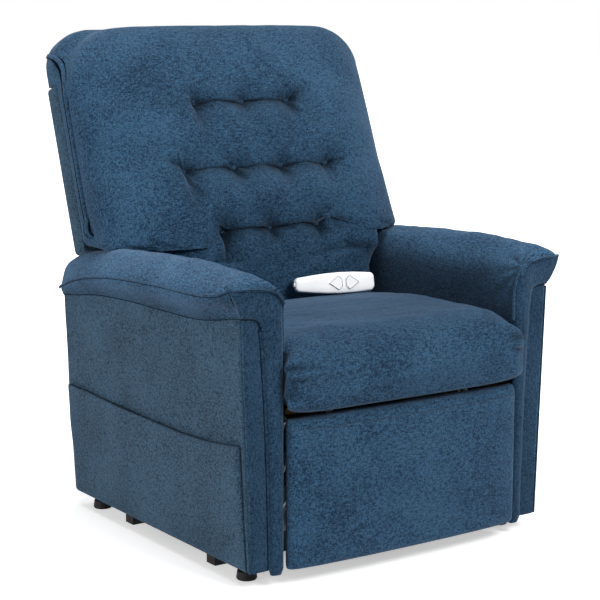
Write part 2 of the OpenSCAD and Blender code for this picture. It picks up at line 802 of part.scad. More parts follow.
module back_links() {
  placed() color(steel_black) both() plate(plane_link - link_t, link_t) difference() {
    bar_2d(back_anchor, back_lug, 24);
    hole_2d(back_anchor, stud_d + 2 * run_gap);
    hole_2d(back_lug, stud_d + 2 * back_slack);
  }
}

wing_low = 228;
shell_top = 608;

shell_low = 22;

module back_outline_2d(e) {
  translate([-waist_half + e, shell_low + e]) square([2 * (waist_half - e), shell_top - shell_low - 2 * e]);
  translate([-wing_half + 7 + e, wing_low + 18 + e])
    square([2 * (wing_half - 7 - e), shell_top - wing_low - 18 - 2 * e]);
}

module back_frame() {
  color(timber) on_back() translate([0, -shell_t - 1, 0]) rotate([90, 0, 0])
    linear_extrude(board_t + 6) difference() {
      back_outline_2d(shell_t + 1);
      for (x = [-210:105:210]) for (z = [90:105:560])
        if (abs(x) < 150 || z > wing_low + 60) translate([x, z]) circle(d = 84, $fn = 40);
    }
}

module back_shell() {
  color(cloth_dark) on_back() difference() {
    rotate([90, 0, 0]) linear_extrude(shell_d) back_outline_2d(0);
    translate([0, -shell_t, 0]) rotate([90, 0, 0]) linear_extrude(shell_d) back_outline_2d(shell_t);
  }
}

button_rows = [[526, 131, [-1, 0, 1], 175], [364, 131, [-1.5, -0.5, 0.5, 1.5], 194], [217, 127, [-1, 0, 1], 203]];

// Depth of the cushion's face in its middle and at its sides; the last three heights hang from the top
function back_depth(z) = lookup(z, [[0, 158], [60, 190], [120, 218], [190, 236], [217, 232], [290, 240],
  [364, 224], [445, 218], [526, 206], [600, 192], [back_len - 60, 168], [back_len - 18, 132], [back_len, 92]]);
function side_depth(z) = lookup(z, [[0, 140], [60, 160], [206, 152], [368, 140], [501, 128], [600, 120],
  [back_len - 60, 112], [back_len - 18, 98], [back_len, 80]]);
function rear_depth(z) = shell_d + 1 - (shell_d + 1 - back_rim) * (z > shell_top + 2 ? 1 : 0)
  + 34 * smooth((z - back_len + rim_drop) / (rim_drop + 8));
// The undersides of the wings, outboard of the buttons, lie level while the back leans
function level(x, z) = tan(back_lean) * smooth((z - 110) / 90) * (1 - smooth((z - 262) / 90))
  * smooth((abs(x) - 215) / 60);
function back_half(z) = let (r = 92, top = back_len - r)
  z < wing_low - 6 ? waist_half - 2 :
  z < wing_low + 14 ? mix(waist_half - 2, wing_half, smooth((z - wing_low + 6) / 20)) :
  z < top ? wing_half : wing_half - r + sqrt(max(0, r * r - (z - top) * (z - top)));
// Bell curve with a flat middle of half-width r
function plateau(x, r, s) = bell(max(0, abs(x) - r), s);
function tuft(x, z) =
  let (marks = [for (r = button_rows) for (k = r[2]) 28 * plateau(x - k * r[1], 14, 16) * plateau(z - r[0], 12, 16)])
  [for (r = button_rows) 13 * plateau(z - r[0], 12, 8)] * [1, 1, 1] + marks * [for (m = marks) 1];

// Places across the front of the cushion: three at each column of buttons, then out to the edges
edge_x = 211;
function face_x(w) =
  let (half = concat([14], [for (c = [65, 131, 197]) each [c - 14, c, c + 14]],
    [mix(edge_x, w, 0.5), mix(edge_x, w, 0.88), w]))
  concat([for (i = [len(half) - 1:-1:0]) -half[i]], [0], half);

// One section of the back cushion at height z along the back
function back_ring(z) =
  let (
    w = back_half(z),
    d = back_depth(z),
    s = side_depth(z),
    rear = rear_depth(z)
  )
  [for (p = concat(
    [for (x = face_x(w)) let (au = abs(x) / w)
      [x, -(s + (d - s) * sqrt(max(0, 1 - pow(au, 5))) - tuft(x, z) * (1 - pow(au, 8))), z]],
    [[w, -mix(s, rear, 0.45), z], [w - 2, -rear, z], [-w + 2, -rear, z], [-w, -mix(s, rear, 0.45), z]]))
    [p[0], p[1], p[2] + level(p[0], z) * (p[1] + 75)]];

module back_cushion() {
  color(cloth) on_back() loft([for (z = [0, 8, 28, 70, 120, 160, 190, 205, 217, 229, 236, 243, 251, 285, 330, 350, 364, 378,
    405, 450, 500, 513, 526, 540, 565, shell_top + 1, shell_top + 3, 650, 675, for (d = [46, 30, 18, 9, 3, 0])
    back_len - d]) back_ring(z)]);
}

module back_buttons() {
  color(cloth) on_back() for (r = button_rows) for (k = r[2])
    translate([k * r[1], -back_depth(r[0]) + 41 - 5, r[0]]) rotate([90, 0, 0])
      rotate_extrude($fn = 32) polygon([[0, 0], [button_d / 2 - 3, 0], [button_d / 2, 3], [button_d / 2 - 2, 7],
        [button_d / 4, 10], [0, 11]]);
}

// ---------------------------------------------------------------- handset

hand_at = [123, 415, seat_top + 13];
hand_lean = 12;
hand_turn = 15;
button_x = 0;
button_gap = 42.5;

module on_handset() {
  placed() translate(hand_at) rotate([0, 0, -hand_turn]) rotate([-hand_lean, 0, 0]) children();
}

// Barrel outline of the case, in x and z
module hand_2d(e) {
  r = 420;
  intersection() {
    translate([0, hand_w / 2 - r]) circle(r = r - e, $fn = 120);
    translate([0, -hand_w / 2 + r]) circle(r = r - e, $fn = 120);
    translate([-hand_l / 2 + e, -hand_w]) square([hand_l - 2 * e, 2 * hand_w]);
    circle(r = hand_l / 2 + 2 - e, $fn = 80);
  }
}

// Arrow outline of a button, pointing to -X for dir = 1, grown by e
module arrow_2d(dir, e) {
  k = 1 + e / (hand_w * 0.34);
  scale([dir * k, k]) polygon(hand_w * [[-0.34, 0], [0.16, 0.35], [0.34, 0.17], [0.34, -0.17], [0.16, -0.35]]);
}

module handset_case() {
  color(plastic_white) on_handset() difference() {
    union() {
      translate([0, hand_t / 2 - 2, 0]) rotate([90, 0, 0]) linear_extrude(hand_t - 4) hand_2d(0);
      translate([0, hand_t / 2, 0]) rotate([90, 0, 0]) linear_extrude(hand_t) hand_2d(3);
    }
    for (b = [[button_x, 1], [button_x + button_gap, -1]]) translate([b[0], -hand_t / 2 + 4, 0])
      rotate([90, 0, 0]) linear_extrude(6) arrow_2d(b[1], 0.5);
  }
}

module hand_button(x, dir) {
  color(plastic_white) on_handset() translate([x, -hand_t / 2 + 3, 0]) rotate([90, 0, 0])
    linear_extrude(3.8) arrow_2d(dir, 0);
}

module handset_button_left() { hand_button(button_x, 1); }
module handset_button_right() { hand_button(button_x + button_gap, -1); }

module handset_gland() {
  color(plastic_white) on_handset() translate([-hand_l / 2 - 0.1, 0, 0]) rotate([0, -90, 0]) difference() {
    cylinder(h = 1.8, d = 11, $fn = 32);
    translate([0, 0, -1]) cylinder(h = 4, d = 5, $fn = 32);
  }
}

base_side_rail_left();
base_side_rail_right();
base_front_tube();
base_rear_tube();
tube_end_caps();
glide_feet();
base_pivot_brackets();
power_box();
power_inlet();
lift_links();
lift_cross_tube();
guide_links();
actuator_gearbox();
actuator_motor();
actuator_tube();
actuator_rod();
rod_end();
side_plate_left();
side_plate_right();
front_cross_tube();
rear_cross_tube();
arm_frame_left();
arm_frame_right();
arm_pad_left();
arm_pad_right();
arm_side_panel_left();
arm_side_panel_right();
arm_front_panel_left();
arm_front_panel_right();
arm_rear_panel_left();
arm_rear_panel_right();
side_pocket_left();
rear_panel();
drive_tube();
seat_rear_arms();
seat_front_links();
seat_rails();
seat_cross_tubes();
seat_deck();
seat_springs();
seat_cushion();
foot_links_rear();
foot_links_outer();
foot_links_front();
foot_links_inner();
foot_brackets();
footrest_board();
back_brackets();
back_links();
back_frame();
back_shell();
back_cushion();
back_buttons();
handset_case();
handset_button_left();
handset_button_right();
handset_gland();
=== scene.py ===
"""Lift recliner chair: upholstery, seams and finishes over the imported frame.

Shapes are written in chair millimetres: x across, y back from the arm fronts, z up. Points of the
back are written as x, y behind its rear face (negative towards the sitter) and height along it.
"""
import json
import math

import bpy
import numpy as np
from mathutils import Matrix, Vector


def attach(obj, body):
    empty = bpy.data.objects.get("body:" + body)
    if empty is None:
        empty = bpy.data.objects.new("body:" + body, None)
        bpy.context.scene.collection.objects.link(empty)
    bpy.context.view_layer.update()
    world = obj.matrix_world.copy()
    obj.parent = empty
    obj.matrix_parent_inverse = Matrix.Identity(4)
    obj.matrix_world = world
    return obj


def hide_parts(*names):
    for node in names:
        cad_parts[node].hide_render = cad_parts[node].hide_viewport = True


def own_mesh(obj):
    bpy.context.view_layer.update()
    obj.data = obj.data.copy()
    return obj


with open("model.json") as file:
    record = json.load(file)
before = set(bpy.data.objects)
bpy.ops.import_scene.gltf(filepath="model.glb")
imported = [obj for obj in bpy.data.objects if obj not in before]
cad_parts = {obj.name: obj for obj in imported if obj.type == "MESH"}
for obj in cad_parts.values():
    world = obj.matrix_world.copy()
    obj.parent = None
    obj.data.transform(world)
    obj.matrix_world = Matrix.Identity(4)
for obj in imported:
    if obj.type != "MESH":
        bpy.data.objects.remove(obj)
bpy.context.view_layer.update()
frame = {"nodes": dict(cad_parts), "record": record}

Y_MID = 392.656              # chair y of the row frame's origin
BACK_FOOT = (629.0, 400.0)   # chair y and z of the back's lower rear edge
LEAN = math.radians(18.5)
BACK_LEN = 734.0
QUARTER = math.pi / 2
WAVES = 14                   # plane waves in the small unevenness of the cloth


# ------------------------------------------------------------------ helpers
def to_row(points):
    """Chair millimetres to metres in the row's frame."""
    p = np.array(points, float)
    p[..., 1] -= Y_MID
    return p * 0.001


def on_back(points):
    """Points of the back to chair millimetres."""
    p = np.array(points, float)
    y, z = p[..., 1].copy(), p[..., 2].copy()
    p[..., 1] = BACK_FOOT[0] + y * math.cos(LEAN) + z * math.sin(LEAN)
    p[..., 2] = BACK_FOOT[1] - y * math.sin(LEAN) + z * math.cos(LEAN)
    return p


def smooth(x):
    """0 to 1 with soft ends."""
    t = np.clip(x, 0.0, 1.0)
    return t * t * (3 - 2 * t)


def rounded(x):
    """0 to 1 along a quarter circle that starts steep."""
    return np.sqrt(1 - (1 - np.clip(x, 0.0, 1.0)) ** 2)


def mix(a, b, t):
    return a + (b - a) * t


def bell(x, s):
    return np.exp(-(x * x) / (2 * s * s))


def falloff(s, above, below):
    """1 on a line, fading over different lengths above and below it."""
    return np.where(s > 0, np.exp(-s / above), np.exp(s / below))


def signed_power(u, power):
    return np.sign(u) * np.abs(u) ** power


def profile(v, knots, values):
    """Smooth curve through the knots, held at its ends."""
    k, f = np.array(knots, float), np.array(values, float)
    slope = np.gradient(f, k)
    v = np.clip(v, k[0], k[-1])
    i = np.clip(np.searchsorted(k, v, side="right") - 1, 0, len(k) - 2)
    h = k[i + 1] - k[i]
    t = (v - k[i]) / h
    return ((2 * t ** 3 - 3 * t ** 2 + 1) * f[i] + (t ** 3 - 2 * t ** 2 + t) * h * slope[i]
            + (3 * t ** 2 - 2 * t ** 3) * f[i + 1] + (t ** 3 - t ** 2) * h * slope[i + 1])


def wrinkle(u, v, seed, size):
    """Soft folds: a seeded sum of plane waves about size millimetres long, mostly from -1 to 1."""
    rng = np.random.default_rng(seed)
    total = np.zeros(np.broadcast(u, v).shape)
    for _ in range(WAVES):
        a = rng.uniform(0, 2 * math.pi)
        k = 2 * math.pi / (size * rng.uniform(0.6, 1.7))
        total = total + np.sin(k * (u * math.cos(a) + v * math.sin(a)) + rng.uniform(0, 6.28))
    return total / math.sqrt(WAVES * 2)


def catmull_rom(p, per):
    """Curve from the second point to the last but one, with the same number of points a span."""
    t = np.linspace(0, 1, per, endpoint=False)[:, None]
    spans = [0.5 * (2 * b + (c - a) * t + (2 * a - 5 * b + 4 * c - d) * t ** 2
                    + (3 * b - a - 3 * c + d) * t ** 3)
             for a, b, c, d in zip(p, p[1:], p[2:], p[3:])]
    return np.vstack(spans + [p[-2:-1]])


def keyed(points, per):
    """A curve through all the points, with the same number of points in each span."""
    p = np.array(points, float)
    return catmull_rom(np.vstack([2 * p[:1] - p[1:2], p, 2 * p[-1:] - p[-2:-1]]), per)


def even(q, count):
    """Evenly spaced points along a line."""
    d = np.concatenate([[0], np.cumsum(np.linalg.norm(np.diff(q, axis=0), axis=1))])
    s = np.linspace(0, d[-1], count)
    return np.stack([np.interp(s, d, q[:, k]) for k in range(q.shape[1])], 1)


def spline(points, count, closed=False):
    """Evenly spaced points along a curve through all the points."""
    p = np.array(points, float)
    before, after = (p[-1:], p[:2]) if closed else (p[:1], p[-1:])
    return even(catmull_rom(np.vstack([before, p, after]), 12), count)


def placed(name, data, body):
    ob = bpy.data.objects.new(name, data)
    bpy.context.collection.objects.link(ob)
    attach(ob, body)
    return ob


def loft(name, rings, material, body, angle=None, flip=False):
    """A closed skin through rings of equal length; edges over the angle stay sharp."""
    r = np.array(rings, float)
    m, n = r.shape[:2]
    i, j = np.meshgrid(np.arange(m - 1), np.arange(n), indexing="ij")
    k = (j + 1) % n
    quads = np.stack([i * n + j, (i + 1) * n + j, (i + 1) * n + k, i * n + k], -1).reshape(-1, 4)
    faces = quads.tolist() + [list(range(n)), list(range(m * n - 1, (m - 1) * n - 1, -1))]
    if flip:
        faces = [f[::-1] for f in faces]
    mesh = bpy.data.meshes.new(name)
    mesh.from_pydata(to_row(r.reshape(-1, 3)).tolist(), [], faces)
    mesh.update()
    mesh.polygons.foreach_set("use_smooth", [True] * len(mesh.polygons))
    mesh.materials.append(material)
    if angle is not None:
        mesh.set_sharp_from_angle(angle=math.radians(angle))
    return placed(name, mesh, body)


def store_painted_shade(ob, amount):
    """Store the painted shade at each point: how far the cloth's colour is darkened."""
    layer = ob.data.attributes.new("painted_shade", "FLOAT", "POINT")
    layer.data.foreach_set("value", np.array(amount, float).ravel())


def sided(rings, side):
    """Rings written for the right side, mirrored where side is -1."""
    r = np.array(rings, float)
    r[..., 0] *= side
    return r


def tube(name, points, radius, material, body, closed=False):
    """A sewn welt or cord along points in chair millimetres."""
    curve = bpy.data.curves.new(name, "CURVE")
    curve.dimensions = "3D"
    curve.bevel_depth = radius * 0.001
    curve.bevel_resolution = 3
    line = curve.splines.new("POLY")
    p = to_row(points)
    line.points.add(len(p) - 1)
    for point, co in zip(line.points, p):
        point.co = (*co, 1)
    line.use_cyclic_u = closed
    curve.materials.append(material)
    return placed(name, curve, body)


# ------------------------------------------------------------------ materials
def surface(name):
    m = bpy.data.materials.new(name)
    m.use_nodes = True
    return m, m.node_tree, m.node_tree.nodes["Principled BSDF"]


def wire(tree, node, inputs):
    """Set a node's inputs: a socket is linked, anything else is the value."""
    for key, value in inputs.items():
        if isinstance(value, bpy.types.NodeSocket):
            tree.links.new(value, node.inputs[key])
        else:
            node.inputs[key].default_value = value


def add(tree, kind, inputs, **settings):
    node = tree.nodes.new("ShaderNode" + kind)
    for key, value in settings.items():
        setattr(node, key, value)
    wire(tree, node, inputs)
    return node


def calc(tree, operation, a, b):
    return add(tree, "Math", {0: a, 1: b}, operation=operation).outputs[0]


def weighted(tree, *terms):
    """Sum of sockets, each given with its weight."""
    total = None
    for socket, weight in terms:
        term = calc(tree, "MULTIPLY", socket, weight)
        total = term if total is None else calc(tree, "ADD", total, term)
    return total


def noise(tree, vector, scale, detail, roughness=0.5, distortion=0.0):
    inputs = {"Vector": vector, "Scale": scale, "Detail": detail, "Roughness": roughness,
              "Distortion": distortion}
    return add(tree, "TexNoise", inputs).outputs["Fac"]


def ramp(tree, fac, low, high, places=(0.0, 1.0)):
    node = add(tree, "ValToRGB", {"Fac": fac})
    for stop, place, color in zip(node.color_ramp.elements, places, (low, high)):
        stop.position = place
        stop.color = (*color, 1)
    return node.outputs["Color"]


def bumped(tree, height, strength, distance):
    inputs = {"Height": height, "Strength": strength, "Distance": distance}
    return add(tree, "Bump", inputs).outputs["Normal"]


def cloth(name, dark, light, stretch):
    """Slubbed chenille: nap patches, broken threads along one axis, a fine weave and sheen."""
    m, t, bsdf = surface(name)
    place = add(t, "TexCoord", {}).outputs["Object"]

    def fibres(along, across, *rest):
        scale = tuple(along if axis == stretch else across for axis in "XYZ")
        vector = add(t, "Mapping", {"Vector": place, "Scale": scale}).outputs["Vector"]
        return noise(t, vector, 1.0, *rest)

    patches = fibres(7, 7, 3, 0.5, 0.4)
    threads = fibres(105, 350, 2, 0.55)
    cross = fibres(310, 170, 2)
    specks = fibres(380, 380, 1)
    bands = {"Vector": place, "Scale": 150.0, "Distortion": 1.2, "Detail Scale": 2.0}
    waves = [add(t, "TexWave", bands, bands_direction=axis).outputs["Fac"] for axis in "XYZ"]
    weave = calc(t, "ADD", calc(t, "ADD", waves[0], waves[1]), waves[2])
    tone = weighted(t, (patches, 0.34), (threads, 0.8), (cross, 0.7), (specks, 0.6))
    spread = add(t, "MapRange", {"Value": tone, "From Min": 0.98, "From Max": 1.42})
    color = ramp(t, spread.outputs["Result"], dark, light)
    # painted shade: the stored amount darkens the cloth where shade falls, in the tufts, creases and folds and
    # on shaded faces
    painted_shade = add(t, "Attribute", {}, attribute_name="painted_shade").outputs["Fac"]
    shade = calc(t, "SUBTRACT", 1.0, calc(t, "MULTIPLY", painted_shade, 0.72))
    shaded = add(t, "VectorMath", {"Vector": color, "Scale": shade}, operation="SCALE")
    height = weighted(t, (threads, 0.9), (weave, 0.10), (cross, 0.5))
    wire(t, bsdf, {"Base Color": shaded.outputs["Vector"], "Normal": bumped(t, height, 0.6, 0.0016),
                   "Roughness": 0.9, "Specular IOR Level": 0.08, "Sheen Weight": 0.22,
                   "Sheen Roughness": 0.45, "Sheen Tint": (0.55, 0.72, 1.0, 1)})
    return m


def plain(name, color, rough, metal=0.0, grain=900.0, bump_mm=0.05, vary=0.25, coat=0.0, shine=0.5):
    """Moulded or painted surface with a fine grain and slight wear in its tone."""
    m, t, bsdf = surface(name)
    place = add(t, "TexCoord", {}).outputs["Object"]
    fine, broad = noise(t, place, grain, 3), noise(t, place, 24, 5)
    low, high = [c * (1 - vary) for c in color], [min(1, c * (1 + vary)) for c in color]
    wear = add(t, "MapRange", {"Value": broad, "To Min": rough - 0.08, "To Max": rough + 0.08})
    wire(t, bsdf, {"Base Color": ramp(t, broad, low, high, (0.3, 0.7)), "Roughness": wear.outputs["Result"],
                   "Normal": bumped(t, fine, 0.3, bump_mm * 0.001), "Metallic": metal,
                   "Specular IOR Level": shine, "Coat Weight": coat})
    return m


def wood(name):
    """Sawn timber, its grain drawn out along the boards."""
    m, t, bsdf = surface(name)
    place = add(t, "TexCoord", {}).outputs["Object"]
    drawn = add(t, "Mapping", {"Vector": place, "Scale": (12, 3, 40)}).outputs["Vector"]
    grain = noise(t, drawn, 3, 6, distortion=0.8)
    # the tones are darker than raw plywood: painted shade for the boards, which sit in shade under the cushions
    color = ramp(t, grain, (0.13, 0.085, 0.042), (0.22, 0.155, 0.088), (0.35, 0.68))
    wire(t, bsdf, {"Base Color": color, "Normal": bumped(t, grain, 0.3, 0.0004),
                   "Roughness": 0.65, "Specular IOR Level": 0.1})
    return m


def toned(color, factor):
    return tuple(c * factor for c in color)


DARK, LIGHT = (0.0026, 0.0122, 0.0290), (0.0340, 0.0880, 0.1570)
# a greyer copy of the cloth for the faces that turn sideways, painted for the way light falls on them
SIDE_DARK, SIDE_LIGHT = (0.0045, 0.0140, 0.0250), (0.0430, 0.0880, 0.1350)
front_cloth = cloth("cloth_front", DARK, LIGHT, "X")
side_cloth = cloth("cloth_side", SIDE_DARK, SIDE_LIGHT, "Y")
# lit and shaded copies of the front cloth: lighter for the arm tops as painted light, darker for the arm fronts
# as painted shade
arm_lit_cloth = cloth("cloth_arm_lit", DARK, toned(LIGHT, 1.38), "Y")
band_shaded_cloth = cloth("cloth_band_shaded", DARK, toned(LIGHT, 0.66), "Z")
# painted shadow: dark lines laid in the shade under the arms' welts and flaps and beside their seams
shadow_line = plain("shadow_line_dark", (0.004, 0.010, 0.020), 0.9, grain=1500, shine=0.04)
# painted shadow: dark lines laid in the shaded gaps beside the back's welts
deep_shadow_line = plain("seam_shadow", (0.0015, 0.004, 0.008), 0.95, grain=1500, shine=0.04)
black_metal = plain("black_metal", (0.010, 0.010, 0.012), 0.42, shine=0.2)
zinc = plain("zinc_metal", (0.45, 0.46, 0.48), 0.34, metal=0.95, grain=1400)
black_plastic = plain("black_plastic", (0.009, 0.009, 0.010), 0.55, shine=0.15)
white_plastic = plain("white_plastic", (0.94, 0.945, 0.955), 0.34, vary=0.03, coat=0.15, bump_mm=0.02)
grey_line = plain("grey_line", (0.10, 0.10, 0.11), 0.5, vary=0.1)
timber = wood("timber")

SLOT_MATERIAL = {
    "frame_steel": black_metal, "zinc_steel": zinc, "black_plastic": black_plastic,
    "white_plastic": white_plastic, "timber": timber, "cloth": front_cloth, "cloth_side": side_cloth,
}
slot_of = {s["node"]: s["material_slot"] for s in frame["record"]["subparts"]}
for node, ob in frame["nodes"].items():
    slots = ob.data.materials
    if not slots:
        slots.append(None)
    for i in range(len(slots)):
        slots[i] = SLOT_MATERIAL[slot_of[node]]


# ------------------------------------------------------------------ back cushion
PITCH = 131
ROWS = [(526, (-1, 0, 1)), (364, (-1.5, -0.5, 0.5, 1.5)), (217, (-1, 0, 1))]   # height, pitches out
BUTTONS = [(k * PITCH, z) for z, places in ROWS for k in places]
WAIST, WING, WING_LOW = 292.0, 407.0, 222.0   # half widths, and the height where the wings start
REAR_ROUND, FRONT_ROUND = 92.0, 168.0         # radii of the top corners at the rear and the front
SHELL_TOP = 608.0

# Creases pressed in between two points: start, end, depth, width
FOLDS = [((154, 214), (244, 244), 7, 11), ((-133, 210), (-146, 118), 13, 7), ((-138, 518), (-158, 440), 9, 7),
         ((-206, 368), (-256, 390), 6, 8), ((-200, 346), (-160, 300), 7, 8), ((200, 362), (256, 366), 8, 7),
         ((128, 520), (196, 564), 7, 13), ((136, 206), (176, 176), 8, 8), ((186, 170), (248, 160), 6, 7),
         ((262, 190), (276, 110), 7, 8), ((-386, 240), (-283, 231), 8, 6), ((-330, 252), (-240, 226), 5, 7),
         ((-66, 352), (-30, 322), 5, 7), ((66, 352), (104, 324), 5, 7), ((0, 205), (36, 170), 5, 8),
         ((133, 512), (158, 470), 5, 8), ((300, 246), (386, 238), 6, 6), ((-60, 376), (-20, 398), 4, 8)]


def back_depth(z):
    """Depth of the cushion's face along its middle."""
    return profile(z, [0, 60, 120, 190, 217, 290, 364, 445, 526, 590, 640, 680, 706, 722, 734],
                   [158, 190, 218, 236, 238, 244, 228, 222, 210, 198, 186, 168, 150, 128, 92])


def side_depth(z):
    """Depth of the cushion's face at its sides."""
    return profile(z, [0, 60, 206, 300, 368, 501, 600, 660, 700, 722, 734],
                   [140, 156, 140, 116, 108, 104, 102, 98, 90, 80, 66])


def side_reach(depth):
    """0 at the rear outline of the back, 1 at the front one."""
    return smooth((depth - 50) / 60)


def half_width(z, radius):
    top = BACK_LEN - radius
    arc = WING - radius + np.sqrt(np.maximum(0, radius ** 2 - np.maximum(0, z - top) ** 2))
    return np.where(z < WING_LOW, WAIST, np.where(z < top, WING, arc))


def level(x, z):
    """How strongly the undersides of the wings are drawn level, outboard of the buttons."""
    return (math.tan(LEAN) * smooth((z - 110) / 90) * (1 - smooth((z - 262) / 90))
            * np.where(x < 0, smooth((-x - 158) / 34), 0.84 * smooth((x - 150) / 130)))


def row_line(x, z, n):
    """Height above the crease of a row, how far the crease reaches, place between two buttons."""
    row, places = ROWS[n]
    lo, hi = places[0] * PITCH, places[-1] * PITCH
    phase = ((x - lo) / PITCH) % 1.0
    line = (row - 3 + 3.2 * np.sin(np.pi * phase) + 1.3 * np.sin(x / 17.0 + n)
            + 0.8 * np.sin(x / 7.3 + 2 * n))
    fade = smooth((x - lo + 20) / 20) * smooth((hi + 20 - x) / 20)
    return z - line, fade, phase


def fold(x, z, a, b, depth, width):
    """One crease from a to b, slightly bowed, sharp on its upper side."""
    dx, dz = b[0] - a[0], b[1] - a[1]
    length = math.hypot(dx, dz)
    t = ((x - a[0]) * dx + (z - a[1]) * dz) / length ** 2
    off = ((x - a[0]) * dz - (z - a[1]) * dx) / length * (1 if dx >= 0 else -1)
    off = -off + 0.07 * length * np.sin(np.pi * np.clip(t, 0, 1))
    return depth * smooth(t / 0.15) * smooth((1 - t) / 0.6) * falloff(off, width * 0.6, width * 2.0)


def tufts(x, z):
    """How far the face is drawn in at the buttons and along the creases between them."""
    total = np.zeros(np.broadcast(x, z).shape)
    for n in range(len(ROWS)):
        s, fade, phase = row_line(x, z, n)
        total += fade * (17 + 6 * np.cos(2 * np.pi * phase)) * falloff(s, 8.5, 30)
        total += 4 * fade * np.exp(-np.abs(s) / 55)
    for n, (bx, bz) in enumerate(BUTTONS):
        dx, dz = x - bx, z - bz
        r = np.hypot(dx, dz * np.where(dz < 0, 0.72, 1.15)) + 1e-6
        a = np.arctan2(dz, dx)
        total += 17 * np.exp(-r / 15) + 9 * np.exp(-r / 40)
        pleat = np.cos(5 * a + n * 1.7) * (0.6 + 0.4 * np.sin(2 * a + n)) + 0.2 * np.cos(9 * a + n * 0.9)
        total += 5.0 * np.exp(-r / 36) * smooth(r / 22) * pleat
    return total


def painted_tuft_shade(x, z):
    """Painted shade under the creases, round the buttons and in the folds, where shade falls."""
    total = np.zeros(np.broadcast(x, z).shape)
    for n in range(len(ROWS)):
        s, fade, phase = row_line(x, z, n)
        below = np.where(s > 0, 0, np.exp(s / 42))
        total += fade * (0.95 + 0.25 * np.cos(2 * np.pi * phase)) * falloff(s, 5.0, 12)
        total += fade * 0.42 * below * (0.8 + 0.2 * np.sin(x / 61.0 + 1.8 * n))
    for bx, bz in BUTTONS:
        dx, dz = x - bx, z - bz
        total += 0.85 * np.exp(-np.hypot(dx, dz * np.where(dz < 0, 0.62, 1.3)) / 22)
    for a, b, depth, width in FOLDS:
        total += 0.075 * fold(x, z, a, b, depth, width * 0.9)
    return np.clip(total, 0, 1)


def face_depth(x, z, w):
    """Depth of the cushion's front, with its tufts, folds and small creases."""
    out = np.abs(x)
    side = side_depth(z)
    # the right wing runs on down into the waist, the left one ends over it in a hem
    spread = np.where(x > 0, np.maximum(w, mix(WAIST, WING, smooth((z - 96) / 126))), w)
    crown = np.power(np.maximum(0, 1 - np.clip(out / spread, 0, 1) ** 3.8), 0.5)
    drawn = tufts(x, z)
    for a, b, depth, width in FOLDS:
        drawn = drawn + fold(x, z, a, b, depth, width)
    # a long crease over the lumbar roll, and fine gathers along the side seams
    across = smooth((out - 60) / 90) * smooth((290 - out) / 30)
    drawn = drawn + 9 * np.exp(-np.abs(z - 128 - 0.0005 * x * x) / 8) * across
    high = smooth((z - 575) / 40) * np.maximum(0, np.sin(z / 3.6)) ** 2
    low = smooth((330 - z) / 60) * np.maximum(0, np.sin(z / 4.4 + 1)) ** 2 * (z > WING_LOW)
    drawn = drawn + 4 * np.exp(-(w - out) / 16) * high + 3 * np.exp(-(w - out) / 20) * low
    drawn = drawn + 1.8 * wrinkle(x, z, 3, 150) + 0.9 * wrinkle(x, z, 4, 60) + 0.35 * wrinkle(x, z, 5, 26)
    return side + (back_depth(z) - side) * crown - drawn * (1 - np.clip(out / w, 0, 1) ** 10)


def ring_heights():
    """Heights of the back's rings, close together at its edges and at the rows of buttons."""
    zs = [np.linspace(2, WING_LOW - 0.01, 62), np.linspace(WING_LOW + 0.01, 606, 100),
          [607.2, 608.4, 609.6, 611], np.linspace(615, 712, 26),
          BACK_LEN - 20 * (1 - np.sin(np.linspace(0, QUARTER, 14)))]
    zs += [np.arange(row - 16, row + 17, 1.3) for row, _ in ROWS]
    z = np.unique(np.round(np.concatenate(zs), 2))
    return z[(np.abs(z - WING_LOW) > 1) | (np.abs(z - WING_LOW) < 0.02)]


def back_rings():
    """The back cushion, and its painted shade."""
    rings = []
    u = signed_power(np.linspace(-1, 1, 301), 0.88)
    a = np.linspace(0, 1, 14)[1:-1]
    for z in ring_heights():
        # the cushion steps back over the shell's top edge
        rear = 59 - 41 * smooth((z - SHELL_TOP + 0.2) / 1.4) + 30 * smooth((z - BACK_LEN + 36) / 44)
        full = float(half_width(z, FRONT_ROUND))
        drop = 15 * (1 - rounded((z - WING_LOW) / 16)) if z > WING_LOW else 0.0
        wide_rear, wide_front = float(half_width(z, REAR_ROUND)) - drop, full - drop
        x = wide_front * u
        front = -face_depth(x * full / wide_front, np.full_like(x, z), full)
        depth = mix(float(side_depth(z)), rear, a)
        right = np.stack([mix(wide_rear, wide_front, side_reach(depth)), -depth, np.full(len(a), z)], 1)
        back = np.stack([np.linspace(wide_rear, -wide_rear, 24), np.full(24, -rear), np.full(24, z)], 1)
        left = right[::-1] * [-1, 1, 1]
        rings.append(np.vstack([np.stack([x, front, np.full_like(x, z)], 1), right, back, left]))
    r = np.array(rings)
    x, z = r[..., 0].copy(), r[..., 2].copy()
    face = smooth((-r[..., 1] - 100) / 40)
    dark = painted_tuft_shade(x, z) * face
    for n in range(len(ROWS)):
        s, fade, _ = row_line(x, z, n)
        r[..., 2] += face * fade * np.where(s > 0, -11 * (s / 8) * np.exp(1 - s / 8), 0.0)
    r[..., 2] += level(x, z) * (r[..., 1] + 75)
    hem = np.exp(-np.abs(z - WING_LOW) / 14) * smooth((np.abs(x) - 285) / 20) * face
    r[..., 2] += hem * (2.2 * np.sin(x / 9.0) + 1.6 * np.sin(x / 4.7 + 1))
    return r, dark


rings, dark = back_rings()
back = loft("back_cushion_soft", on_back(rings), front_cloth, "backrest")
store_painted_shade(back, dark)
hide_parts("back_cushion")


# Radius and height of a covered button's rings
BUTTON_RINGS = [(2, -6), (8.5, -6), (10.5, -3), (11.5, 0.5), (11.2, 3), (9.6, 6), (7, 8), (3.5, 9), (0.5, 9.2)]
BUTTON_SINK = 9


